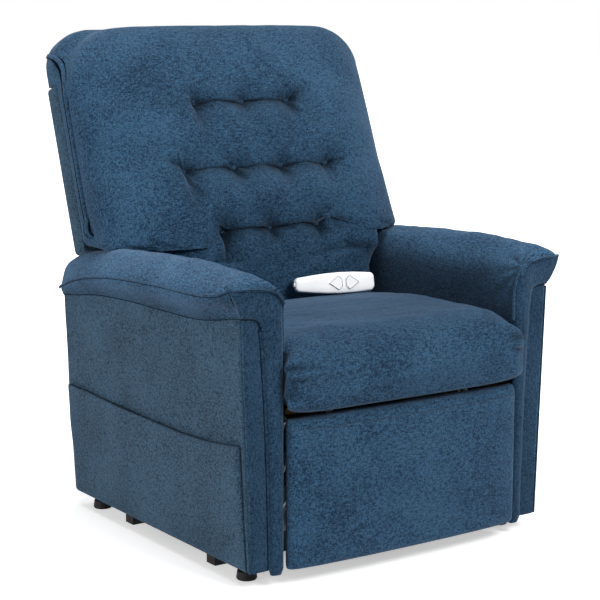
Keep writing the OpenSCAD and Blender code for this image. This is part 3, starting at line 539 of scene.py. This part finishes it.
def back_button(name, x, z):
    """A covered button, domed, sunk in its dimple."""
    foot = -float(face_depth(np.array([x]), np.array([float(z)]), WING)[0]) - BUTTON_SINK
    a = np.linspace(0, 2 * np.pi, 33)[:-1]
    rings = [np.stack([x + r * np.cos(a), np.full(len(a), foot - h), z + r * np.sin(a)], 1)
             for r, h in BUTTON_RINGS]
    ob = loft(name, on_back(rings), front_cloth, "backrest")
    return ob


for n, (bx, bz) in enumerate(BUTTONS):
    button = back_button(f"back_button_{n + 1}", bx, bz)
    if n == 0:
        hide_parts("back_buttons")


# Padded shell: T-shaped, with rounded rear edges
SHELL_WAIST, SHELL_WING = 283.0, 409.0
SHELL_DEPTH, SHELL_CORNER, SHELL_EDGE = 57.0, 16.0, 8.0


def shell_ring(z, half, depth):
    a = np.linspace(QUARTER, 0, 8)
    corner = np.stack([np.sin(a), np.cos(a)], 1) * SHELL_CORNER + [half - SHELL_CORNER, -SHELL_CORNER]
    front = np.stack([np.linspace(-half + 6, half - 6, 12), np.full(12, -depth)], 1)
    pts = np.vstack([[[half - 2, -depth], [half, -depth + 4]], corner, corner[::-1] * [-1, 1],
                     [[-half, -depth + 4], [-half + 2, -depth]], front])
    return np.column_stack([pts, np.full(len(pts), z)])


def shell_rings(zs, half):
    rings = []
    for z in zs:
        inset = SHELL_EDGE * (1 - rounded(min(z - zs[0], zs[-1] - z) / SHELL_EDGE))
        rings.append(shell_ring(z, half - inset, SHELL_DEPTH - inset))
    return np.array(rings)


zs = np.concatenate([[22, 23, 25, 30], np.linspace(40, 225, 14), [232, 236]])
shell_low = loft("back_shell_low", on_back(shell_rings(zs, SHELL_WAIST)), side_cloth, "backrest", angle=50)
zs = np.concatenate([[217, 218, 220, 226], np.linspace(240, 585, 20), [600, 605, 607, SHELL_TOP]])
shell_high = loft("back_shell_high", on_back(shell_rings(zs, SHELL_WING)), side_cloth, "backrest", angle=50)
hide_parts("back_shell")
# a point on the shell's top is worked out and not used, and the upper shell gets a mesh of its own
tuple(to_row(on_back([0, -28, 608])))
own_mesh(shell_high)


# Depth and height of the welt along each side of the back
WELT = [(118, 214), (103, 240), (92, 285), (89, 345), (89, 402), (90, 462), (91, 520), (92, 565), (91, 606),
        (84, 634), (70, 658), (46, 676), (24, 684)]


def side_x(depth, z):
    """Where the side of the back lies at a depth and height."""
    return mix(float(half_width(z, REAR_ROUND)), float(half_width(z, FRONT_ROUND)), float(side_reach(depth)))


def side_welt(side, out, shift, name, radius, material):
    pts = [(side * (side_x(d + shift, z) - 1 + out), -(d + shift), z) for d, z in WELT]
    return tube(name, on_back(spline(pts, 110)), radius, material, "backrest")


for side, word in ((-1, "left"), (1, "right")):
    side_welt(side, 0, 0, f"back_welt_{word}", 6.0, front_cloth)
    # painted shadow: dark tubes in front of and behind the welt
    side_welt(side, -0.5, 8.0, f"back_welt_front_shadow_{word}", 1.8, deep_shadow_line)
    side_welt(side, -1.0, -10.0, f"back_welt_rear_shadow_{word}", 4.2, deep_shadow_line)


# ------------------------------------------------------------------ seat cushion
SEAT_TOP, SEAT_LOW, SEAT_FRONT, SEAT_REAR, SEAT_HALF = 520.0, 362.0, -46.0, 452.0, 298.0
SEAT_EDGE, SEAT_SLOPE = 34.0, 95.0   # depth of the rounded ends, and of the fall of the top to the front


def seat_rings():
    """The seat cushion, and its painted shade."""
    ys = np.concatenate([SEAT_FRONT + SEAT_EDGE * (1 - np.cos(np.linspace(0.02, QUARTER, 26))),
                         np.linspace(-8, 410, 90),
                         SEAT_REAR - 36 + 36 * np.sin(np.linspace(0.1, QUARTER, 12))])
    a = np.linspace(0, 2 * np.pi, 181)[:-1] + np.pi * 1.25
    c, s = np.cos(-a), np.sin(-a)
    rings = []
    for y in ys:
        ease = rounded((y - SEAT_FRONT) / SEAT_EDGE)
        slope = rounded((y - SEAT_FRONT) / SEAT_SLOPE)
        tail = rounded((SEAT_REAR - y) / SEAT_EDGE)
        half = SEAT_HALF - 22 * (1 - ease) - 10 * (1 - tail) + 19 * float(bell(y + 31, 10))
        top = SEAT_TOP - 74 * (1 - slope) - 22 * (1 - tail) - 16 * float(smooth((y - 250) / 200))
        low = mix(SEAT_LOW - 4, SEAT_LOW, float(smooth(y / 20))) + 11 * (1 - ease) + 8 * (1 - tail)
        x = signed_power(c, 0.34) * half
        z = (top + low) / 2 + signed_power(s, np.where(s > 0, 0.33, 0.22)) * (top - low) / 2
        rings.append(np.stack([x, np.full_like(x, y), z], 1))
    r = np.array(rings)
    x, y, z = r[..., 0], r[..., 1], r[..., 2]
    top = smooth((z - 440) / 60)
    front = 1 - smooth((y - SEAT_FRONT) / 60)
    z += top * (1.6 * wrinkle(x, y, 11, 130) + 0.7 * wrinkle(x, y, 12, 50))
    y += front * (1.2 * wrinkle(x, z * 1.4, 13, 150) + 0.7 * wrinkle(x, z, 14, 40))
    # painted shade over the top, which lies between the arms and the back
    dark = 0.24 * top
    # gathers along the front side edges, with painted shade in their folds
    for side, deep in ((-1, 6.2), (1, 4.4)):
        near = (bell(x - side * 300, 32) * (1 - smooth((y - 20) / 60)) * smooth((z - 362) / 20)
                * smooth((490 - z) / 60))
        pleat = np.sin(z / 5.2 + 1.1 * np.sin(z / 17)) + 0.6 * np.sin(z / 9.1 + 2)
        y += near * deep * pleat
        x += side * near * 2.6 * pleat
        dark = np.maximum(dark, np.clip(near * (0.35 + 0.75 * pleat), 0, 1))
    # painted shade along the foot of the front, over the gap to the footrest
    dark = dark + 0.45 * front * (1 - smooth((z - 362) / 30))
    return r, np.clip(dark, 0, 1)


rings, dark = seat_rings()
seat = loft("seat_cushion_soft", rings, front_cloth, "seat")
store_painted_shade(seat, dark)
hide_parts("seat_cushion")


# ------------------------------------------------------------------ footrest board
FOOT_HALF, FOOT_LOW, FOOT_TOP, FOOT_REAR, FOOT_THICK = 301.0, 35.0, 348.0, -7.0, 31.0


def foot_rings():
    rings = []
    zs = np.concatenate([FOOT_LOW + 16 * (1 - np.cos(np.linspace(0.05, QUARTER, 10))),
                         np.linspace(60, 330, 60),
                         FOOT_TOP - 20 * (1 - np.sin(np.linspace(0, QUARTER - 0.05, 10)))])
    a = np.linspace(0, np.pi, 121)
    u = signed_power(np.cos(a), 0.34)
    for z in zs:
        e = rounded(min((z - FOOT_LOW) / 16, (FOOT_TOP - z) / 22))
        half = FOOT_HALF - 4 * (1 - e)
        rise = math.sin(math.pi * (z - FOOT_LOW) / (FOOT_TOP - FOOT_LOW))
        crown = 12 * e * (0.6 + 0.4 * rise)
        x, flat_z = half * u, np.full_like(u, z)
        y = FOOT_REAR - (FOOT_THICK - 14 * (1 - e)) * np.minimum(1, np.sin(a) ** 0.45) - crown * (1 - u * u)
        y = y + e * (0.9 * wrinkle(x, flat_z, 21, 120) + 0.5 * wrinkle(x, flat_z, 22, 45)) * (1 - u ** 6)
        rings.append(np.vstack([[[half, FOOT_REAR, z]], np.stack([x, y, flat_z], 1),
                                [[-half, FOOT_REAR, z]]]))
    r = np.array(rings)
    # the lower edge bows down a little
    bow = 3.5 * (1 - (r[..., 0] / FOOT_HALF) ** 2) * (1 - smooth((r[..., 2] - 40) / 60))
    r[..., 2] -= bow * 0.5
    return r


foot = loft("footrest_pad", foot_rings(), front_cloth, "footrest")
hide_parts("footrest_board")


# ------------------------------------------------------------------ arms
ARM_FRONT, NOSE_BACK, ARM_END = -4.0, 30.0, 770.0
NOSE_FROM, NOSE_TO = math.radians(-46), QUARTER
KEY_STEPS, FLAP_STEPS, SEAM_STEPS, BAND_STEPS = 11, 29, 9, 25
GATHER = (320, -14, 606)   # the inner front corner, where the gathers start


def crown_z(y):
    return 656 + profile(y, [-40, 0, 60, 170, 300, 420, 520, 600, 660, 715, 758, 782],
                         [-20, -11, -5, 0, -3, -9, -16, -26, -38, -54, -79, -106])


def lip_z(y):
    return profile(y, [-20, 0, 22, 60, 117, 236, 363, 498, 600, 651, 705, 745, 780],
                   [623, 620, 611, 605, 602, 601, 597, 587, 572, 561, 546, 533, 520])


def lip_x(y):
    return profile(y, [-20, 0, 60, 200, 420, 560, 650, 720, 765, 780],
                   [434, 436, 443, 444, 442, 437, 431, 422, 412, 406])


def under_z(y):
    return profile(y, [-30, 20, 70, 130, 276, 450, 590, 690, 740, 780],
                   [564, 560, 551, 544, 541, 540, 532, 518, 514, 512])


def flap_edge(y, tip, lip):
    """x and z of the lower edge of the flap that hangs from the arm's lip."""
    return min(mix(404.0, 416.0, float(smooth((y - 10) / 110))), tip - 5), min(float(under_z(y)), lip - 5)


def rear_close(y):
    """0 along the arm, 1 at its rear end, which is closed down to the rear panel."""
    return float(smooth((y - 722) / 16))


def nose(x, z):
    """1 on the arm's rounded nose, 0 down its front and out at its lip."""
    return smooth((z - 548) / 52) * smooth((436 - x) / 34)


# The arm front's two seams, outward and up from the floor: inner and top edge, lower edge
SEAM_A = [(306, 25), (306, 150), (306, 283), (306, 400), (306, 489), (306.5, 530), (308.5, 566), (313.5, 590),
          (324, 606), (342, 614), (372, 618.5), (402, 621), (434, 623)]
SEAM_B = [(336, 25), (338.5, 150), (342, 283), (347, 400), (353, 489), (356, 524), (358, 541), (360, 548),
          (363, 553.5), (369, 557.5), (379, 560), (391, 561.5), (404, 563)]
# The arm top's section where its nose starts from the front seam
EDGE_KEYS = np.array([(306, 346), (306, 420), (306, 480), (306.5, 530), (308.5, 566), (313.5, 590),
                      (324, 606), (342, 614), (372, 618.5), (402, 621), (420, 622), (434, 623)])
TOP_POINTS = (len(EDGE_KEYS) - 1) * KEY_STEPS


def arm_keys(y):
    """Section of the arm top, from its inner face over the crown to the tip of the flare."""
    crown, lip, tip = (float(f(y)) for f in (crown_z, lip_z, lip_x))
    end = rear_close(y)
    return np.array([(306, mix(346, 425, end)), (306, mix(420, 452, end)), (306, 480), (307, 530),
                     (310, 566), (318, 596), (335, 624), (354, crown - 9), (378, crown),
                     (402, crown - 7), (mix(402, tip, 0.65), mix(lip, crown, 0.42)), (tip, lip)])


def arm_ring(keys, y):
    """A ring of the arm top: over the top, down the flap, and closed inside the arm."""
    tip, lip = keys[-1]
    foot, under = flap_edge(y, tip, lip)
    flap = spline([(tip, lip), (mix(tip, foot, 0.16), mix(lip, under, 0.28)),
                   (mix(tip, foot, 0.7), mix(lip, under, 0.66)), (foot, under)], FLAP_STEPS + 1)
    base = float(keys[0][1])
    floor_z = mix(under + 4, 429.0, rear_close(y))
    inside = even(np.array([(foot, under), (foot - 12, under + 4), (380, under + 4), (380, floor_z),
                            (337, floor_z), (335, base + 4), (330, base), (306, base)]), 50)
    ring = np.vstack([keyed(keys, KEY_STEPS)[:-1], flap[:-1], inside[:-1]])
    return np.column_stack([ring[:, 0], np.full(len(ring), float(y)), ring[:, 1]])


def arm_rings():
    """The arm top, and its painted shade."""
    rings = []
    full = arm_keys(NOSE_BACK)
    for phi in np.linspace(NOSE_FROM, NOSE_TO, 26):
        rise = max(0.0, (13 + 18 * math.sin(phi)) / 31)
        base = mix(ARM_FRONT, NOSE_BACK, (phi - NOSE_FROM) / (NOSE_TO - NOSE_FROM))
        ring = arm_ring(mix(EDGE_KEYS, full, rise), base)
        top = ring[:TOP_POINTS]
        top[:, 1] = mix(base, NOSE_BACK - 58 * math.cos(phi), nose(top[:, 0], top[:, 2]))
        rings.append(ring)
    # the tail draws in to a blunt end
    length = 36
    for y in np.concatenate([np.linspace(35, ARM_END - length - 2, 140),
                             ARM_END - length + length * np.sin(np.linspace(0, QUARTER, 14))]):
        tail = rounded((ARM_END - y) / length)
        mid = np.array([356.0, y, 470.0])
        rings.append(mid + (arm_ring(arm_keys(y), y) - mid) * [mix(0.84, 1.0, tail), 1, mix(0.80, 1.0, tail)])
    r = np.array(rings)
    x, y, z = r[..., 0], r[..., 1], r[..., 2]
    up = smooth((z - 560) / 60) * smooth((436 - x) / 14)
    z += up * (1.1 * wrinkle(x, y, 31, 120) + 0.6 * wrinkle(x, y, 32, 40)) * smooth((y + 12) / 30)
    dx, dy, dz = x - GATHER[0], y - GATHER[1], z - GATHER[2]
    dist = np.sqrt(dx ** 2 + dy ** 2 + dz ** 2)
    fan = np.exp(-dist / 40) * smooth((dist - 4) / 16)
    ridge = np.sin(11 * np.arctan2(dz, dy + 0.35 * dx + 1e-6) + 0.6)
    z += 4.6 * fan * ridge * up
    y -= 5.0 * fan * ridge * smooth((z - 560) / 40)
    # painted shade in the hollows of the gathers
    dark = 0.9 * fan * (0.3 - ridge)
    # the flap lies in the lip's shade, the inner face in the seat's
    flap = slice(TOP_POINTS, TOP_POINTS + FLAP_STEPS)
    down = mix(0.15, 0.8, np.linspace(0, 1, FLAP_STEPS))
    dark[:, flap] += mix(0.62, down, smooth((y[:, TOP_POINTS:TOP_POINTS + 1] - 12) / 90))
    dark += 0.72 * smooth((640 - z) / 80) * smooth((362 - x) / 30)
    return r, np.clip(dark, 0, 1)


def seam_y(x, z):
    """Where the inner seam lies: flush down the side, brought forward under the arm's nose."""
    return ARM_FRONT - 6.3 * nose(x, z)


def band_rings():
    """The padded band of the arm front: a roll up the inner edge that turns out under the nose."""
    a, b = keyed(SEAM_A, SEAM_STEPS), keyed(SEAM_B, SEAM_STEPS)
    u = np.linspace(0, 1, BAND_STEPS)
    rings = []
    for n, ((ax, az), (bx, bz)) in enumerate(zip(a, b)):
        e = rounded((min(az, bz) - 24.9) / 12)
        middle, z = mix(ax, bx, 0.5), mix(az, bz, u)
        x = middle + (mix(ax, bx, u) - middle) * mix(0.72, 1.0, e)
        out = smooth((n / (len(a) - 1) - 0.6) / 0.3)
        bulge = mix(12.5, 9.5, out) * (0.35 + 0.65 * e) * np.sin(np.pi * u) ** 0.5
        y = mix(seam_y(ax, az), -2.0, smooth(u * 1.4)) - bulge
        rings.append(np.vstack([np.stack([x, y, z], 1), [[x[-1], 3, z[-1]], [x[0], 3, z[0]]]]))
    r = np.array(rings)
    face = r[:, :BAND_STEPS]
    face[..., 1] += 0.9 * wrinkle(face[..., 0] * 0.5, face[..., 2], 41, 90)
    return r


SKIRT, SIDE_FOOT, SIDE_END = 36.0, 383.0, 766.0


def side_at(z):
    """x of the chair's flat side, which leans out by 2.3 degrees."""
    return SIDE_FOOT + math.tan(math.radians(2.3)) * (z - SKIRT)


def panel_rings():
    """The upholstered side, slightly full, hanging from the flare to the skirt."""
    rings = []
    edge = 6 * (1 - np.cos(np.linspace(0, QUARTER, 6)))
    for y in np.concatenate([edge, np.linspace(12, SIDE_END - 12, 100), SIDE_END - edge[::-1]]):
        e = rounded(min(y, SIDE_END - y) / 6 + 0.02)
        top = float(under_z(y)) + 3
        zs = np.concatenate([[36.5, 37.5, 39.5, 43], np.linspace(50, top, 90)])
        ys = np.full_like(zs, y)
        x = side_at(zs) + 2 * np.sin(np.pi * np.clip((zs - SKIRT) / (top - SKIRT), 0, 1)) * e
        x = x - 5 * (1 - e) - 4 * (1 - rounded((zs - SKIRT) / 6))
        x = x + e * (0.8 * wrinkle(ys, zs, 51, 150) + 0.35 * wrinkle(ys, zs, 52, 60))
        inner = np.array([[x[-1] - 11, y, top], [SIDE_FOOT - 11, y, 36.5]])
        rings.append(np.vstack([np.stack([x, ys, zs], 1), inner]))
    return np.array(rings)


def pocket_rings():
    """The pocket's cloth, standing off the side and drawn in at both ends."""
    rings = []
    for y in np.concatenate([[12, 13, 15, 19], np.linspace(26, 738, 100), [745, 749, 751, 752]]):
        e = rounded(min(y - 11, 753 - y) / 10)
        top = np.interp(y, [10, 70, 126, 223, 325, 430, 542, 658, 744],
                        [304, 297, 291, 287, 288, 290, 293, 298, 299]) - 2
        zs = np.concatenate([[37.5, 40, 46], np.linspace(54, top - 3, 60), [top - 1, top]])
        ys = np.full_like(zs, y)
        lift = 0.3 + np.interp(zs, [37, 46, 216, top], [1.5, 4, 12.6, 13]) * mix(0.25, 1.0, e)
        x = side_at(zs) + lift + e * 1.2 * wrinkle(ys, zs, 61, 140) * smooth((zs - 60) / 60)
        x[-1] -= 1.6
        inner = np.array([[float(np.interp(z, zs, x)) - 3.0, y, z] for z in (top, top - 6, 60, 38)])
        rings.append(np.vstack([np.stack([x, ys, zs], 1), inner]))
    return np.array(rings)


def front_panel_rings():
    """The flat cloth of the arm front, outside the band."""
    rings = []
    u = np.linspace(0, 1, 24)
    for z in np.concatenate([[36.5, 37.5, 40], np.linspace(46, 560, 90)]):
        x0 = np.interp(z, [25, 283, 400, 489, 541, 560], [334, 340, 345, 351, 355, 360])
        x1 = np.interp(z, [36, 297, 541, 600], [382, 392, 402, 405])
        x, zs = mix(x0, x1, u), np.full_like(u, z)
        y = 1.0 - 2.6 * np.sin(np.pi * u) ** 0.7 + 0.4 * wrinkle(x, zs, 71, 70)
        rings.append(np.vstack([np.stack([x, y, zs], 1), [[x1, 11, z], [x0, 11, z]]]))
    return np.array(rings)


rings, dark = arm_rings()
for side, word in ((1, "right"), (-1, "left")):
    body, flip = "chair_frame", side == -1
    top = loft(f"arm_top_{word}", sided(rings, side), arm_lit_cloth, body, flip=flip, angle=42)
    store_painted_shade(top, dark)
    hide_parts(f"arm_pad_{word}")
    band = loft(f"arm_band_{word}", sided(band_rings(), side), band_shaded_cloth, body, flip=flip, angle=60)
    # the left side panel takes the greyer side copy, the right one the lighter arm copy: painted light
    panel_material = side_cloth if side == -1 else arm_lit_cloth
    panel = loft(f"arm_side_{word}", sided(panel_rings(), side), panel_material, body, flip=flip, angle=50)
    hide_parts(f"arm_side_panel_{word}")
    front = loft(f"arm_front_{word}", sided(front_panel_rings(), side), band_shaded_cloth, body, flip=flip, angle=50)
    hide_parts(f"arm_front_panel_{word}")
    # the welt follows the front seam from above the seat, then the lip to the rear
    ys = np.linspace(-4, 762, 120)
    lip = np.stack([lip_x(ys) + 0.5, ys, lip_z(ys)], 1)
    seam = [(x - 0.5, float(seam_y(x, z)) - 1.5, z) for x, z in keyed(SEAM_A, SEAM_STEPS)[4 * SEAM_STEPS:]]
    welt = sided(np.vstack([seam, lip]), side)
    tube(f"arm_welt_{word}", even(welt, 260), 2.8, front_cloth, body)
    # painted shadow: a dark tube under the welt
    tube(f"arm_welt_shadow_{word}", even(welt + [side * 0.4, -0.4, -3.4], 260), 0.9, shadow_line, body)
    # painted shadow: a dark tube along the flap's lower edge
    lower = [(x, -3.0, z - 1.0) for x, z in keyed(SEAM_B, SEAM_STEPS)[40::2]]
    for y in np.linspace(12, 735, 60):
        x, z = flap_edge(y, float(lip_x(y)), float(lip_z(y)))
        lower.append((x + 0.5, y, z))
    tube(f"arm_under_shadow_{word}", spline(sided(lower, side), 160), 0.9, shadow_line, body)
    outer = sided([(383.5, 0, 37), (393.5, 0, 297), (403.5, 0, 556)], side)
    tube(f"arm_seam_outer_{word}", spline(outer, 60), 2.2, band_shaded_cloth, body)
    inner = sided([(x + 0.5, -1.5, z) for x, z in keyed(SEAM_B, SEAM_STEPS)[1:50]], side)
    tube(f"arm_seam_inner_{word}", inner, 2.4, band_shaded_cloth, body)
    # painted shadow beside the inner seam
    tube(f"arm_seam_shade_{word}", inner + [side * 3.0, 1.2, 0], 1.0, shadow_line, body)

pocket = loft("side_pocket_cloth", sided(pocket_rings(), -1), side_cloth, "chair_frame", flip=True, angle=60)
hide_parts("side_pocket_left")


def covered(node, name, seed):
    """The cloth over a flat panel: its board's own outline, rounded and slightly uneven."""
    source = frame["nodes"][node]
    ob = bpy.data.objects.new(name, source.data.copy())
    bpy.context.collection.objects.link(ob)
    ob.matrix_world = source.matrix_world.copy()
    remesh = ob.modifiers.new("remesh", "REMESH")
    remesh.mode = "VOXEL"
    remesh.voxel_size = 0.005
    relax = ob.modifiers.new("relax", "SMOOTH")
    relax.iterations = 4
    for modifier in (remesh, relax):
        with bpy.context.temp_override(object=ob, active_object=ob):
            bpy.ops.object.modifier_apply(modifier=modifier.name)
    mesh = ob.data
    co = np.empty(len(mesh.vertices) * 3)
    mesh.vertices.foreach_get("co", co)
    co = co.reshape(-1, 3)
    co[:, 1] += 0.0008 * wrinkle(co[:, 0] * 1000, co[:, 2] * 1000, seed, 120)
    mesh.vertices.foreach_set("co", co.ravel())
    mesh.polygons.foreach_set("use_smooth", [True] * len(mesh.polygons))
    mesh.materials.clear()
    mesh.materials.append(side_cloth)
    mesh.update()
    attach(ob, "chair_frame")
    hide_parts(node)


covered("rear_panel", "rear_panel_cloth", 81)
covered("arm_rear_panel_left", "arm_rear_cloth_left", 82)
covered("arm_rear_panel_right", "arm_rear_cloth_right", 83)


# ------------------------------------------------------------------ handset
HAND_AT = (123.0, 415.0, 533.0)
HAND_LEAN, HAND_TURN = math.radians(12), math.radians(15)
HAND_HALF, HAND_CORNER = 98.0, 9.0
HAND_RINGS = [(14, 10), (5, 10), (1.6, 8.6), (0.3, 6), (0, 3), (0, -3), (0.3, -6), (1.4, -8.0), (4.2, -8.9),
              (14, -9.2)]   # inset of the outline, and y: the last ring is the face with the arrows
ARROW = [(-17, 0), (8, 17.5), (17, 8.5), (17, -8.5), (8, -17.5)]
ARROW_Y = -10.9


def on_hand(points):
    """Points of the handset to chair millimetres."""
    p = np.array(points, float)
    x, y, z = p[..., 0].copy(), p[..., 1].copy(), p[..., 2].copy()
    back = y * math.cos(HAND_LEAN) + z * math.sin(HAND_LEAN)
    p[..., 0] = HAND_AT[0] + x * math.cos(HAND_TURN) + back * math.sin(HAND_TURN)
    p[..., 1] = HAND_AT[1] - x * math.sin(HAND_TURN) + back * math.cos(HAND_TURN)
    p[..., 2] = HAND_AT[2] - y * math.sin(HAND_LEAN) + z * math.cos(HAND_LEAN)
    return p


def hand_outline(inset):
    """Outline of the case: fullest in the middle, narrower at the end away from the arrows."""
    end = HAND_HALF - inset
    xs = np.linspace(-end, end, 121)
    half = np.interp(xs, [-98, -80, -55, -20, 15, 50, 80, 98], [15.5, 17.6, 20.4, 23.6, 24.8, 24.0, 21.8, 20.0])
    corner = np.clip((np.abs(xs) - (end - HAND_CORNER)) / HAND_CORNER, 0, 1)
    half = (half - inset) * np.sqrt(1 - 0.62 * corner ** 2)
    up, down = np.stack([xs, half], 1), np.stack([xs[::-1], -half[::-1]], 1)
    return even(np.vstack([up, down, up[:1]]), 161)[:-1]


rings = []
for inset, y in HAND_RINGS:
    o = hand_outline(inset)
    rings.append(np.stack([o[:, 0], np.full(len(o), y), o[:, 1]], 1))
case = loft("handset_shell", on_hand(rings), white_plastic, "handset", angle=55, flip=True)
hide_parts("handset_case")


def arrow(name, x, turn, body):
    """Thin printed outline round an arrow button."""
    outline = []
    for a, b in zip(ARROW, ARROW[1:] + ARROW[:1]):
        outline += [(mix(a[0], b[0], t), mix(a[1], b[1], t)) for t in (0.08, 0.3, 0.5, 0.7, 0.92)]
    outline = spline([(p[0] * turn, p[1]) for p in outline], 120, closed=True)[:-1] * 0.94
    pts = np.array([(x + p[0], ARROW_Y, p[1]) for p in outline])
    return tube(name, on_hand(pts), 0.55, grey_line, body, closed=True)


arrow("handset_arrow_left", 0, 1, "button_left")
arrow("handset_arrow_right", 42.5, -1, "button_right")


# ------------------------------------------------------------------ studio
def backdrop_ray(tree):
    """1 for rays that show the backdrop: from the camera, or mirrored or let through by the object."""
    path = add(tree, "LightPath", {}).outputs
    seen = path["Is Camera Ray"]
    for other in ("Is Glossy Ray", "Is Transmission Ray"):
        seen = calc(tree, "MAXIMUM", seen, path[other])
    return seen


# white floor that fades into the white backdrop away from the chair
WHITE = (1, 1, 1, 1)
floor_mat, tree, bsdf = surface("floor_white")
wire(tree, bsdf, {"Base Color": (0.92, 0.92, 0.92, 1), "Roughness": 0.9})
place = add(tree, "TexCoord", {}).outputs["Object"]
away = add(tree, "VectorMath", {0: place}, operation="LENGTH").outputs["Value"]
total = 0.0
for near, far, amount in ((0.05, 0.40, 0.50), (0.65, 1.30, 0.80)):
    fade = {"Value": away, "From Min": near, "From Max": far, "To Min": 0.0, "To Max": amount}
    ease = add(tree, "MapRange", fade, interpolation_type="SMOOTHSTEP")
    total = calc(tree, "ADD", ease.outputs["Result"], total)
strength = calc(tree, "MULTIPLY", total, backdrop_ray(tree))
glow = add(tree, "Emission", {"Color": WHITE, "Strength": strength})
both = add(tree, "AddShader", {0: bsdf.outputs[0], 1: glow.outputs[0]})
wire(tree, tree.nodes["Material Output"], {"Surface": both.outputs[0]})
bpy.ops.mesh.primitive_plane_add(size=60, location=(0, 0, 0))
floor = bpy.context.object
floor.name = "floor"
floor.data.materials.append(floor_mat)

world = bpy.data.worlds.new("studio")
bpy.context.scene.world = world
world.use_nodes = True
tree = world.node_tree
soft = tree.nodes["Background"]
wire(tree, soft, {"Color": WHITE, "Strength": 0.24})
seen = add(tree, "Background", {"Color": WHITE, "Strength": 1.0})
both = add(tree, "MixShader", {"Fac": backdrop_ray(tree), 1: soft.outputs[0], 2: seen.outputs[0]})
wire(tree, tree.nodes["World Output"], {"Surface": both.outputs[0]})


def area(name, location, target, size, power):
    light = bpy.data.lights.new(name, "AREA")
    light.shape = "RECTANGLE"
    light.size, light.size_y = size
    light.energy = power
    ob = bpy.data.objects.new(name, light)
    ob.location = location
    ob.rotation_euler = (Vector(target) - Vector(location)).to_track_quat("-Z", "Y").to_euler()
    bpy.context.collection.objects.link(ob)


area("key", (0.6, -2.9, 2.6), (0, 0, 0.5), (1.6, 1.3), 92)
area("side", (-3.0, -0.2, 0.55), (0, 0.1, 0.4), (2.0, 0.9), 42)
area("fill", (2.6, -2.4, 1.6), (0, 0, 0.5), (2.0, 2.0), 6)
area("top", (-0.3, 0.1, 3.2), (0, 0, 0.5), (2.0, 2.0), 62)

# the photograph's camera, solved from the chair's verticals and floor lines
PHOTO_PX, FOCAL_PX, SENSOR_MM = 600, 1698.6, 36
EYE, PITCH_DOWN, HEADING = (-2168.9, -2764.1, 1153.5), 9.57, -34.62
camera_data = bpy.data.cameras.new("camera")
camera_data.lens = FOCAL_PX * SENSOR_MM / PHOTO_PX
camera_data.sensor_width = SENSOR_MM
camera = bpy.data.objects.new("camera", camera_data)
camera.location = to_row(EYE)
camera.rotation_euler = (math.radians(90 - PITCH_DOWN), 0, math.radians(HEADING))
bpy.context.collection.objects.link(camera)
bpy.context.scene.camera = camera
bpy.context.scene.view_settings.view_transform = "Standard"
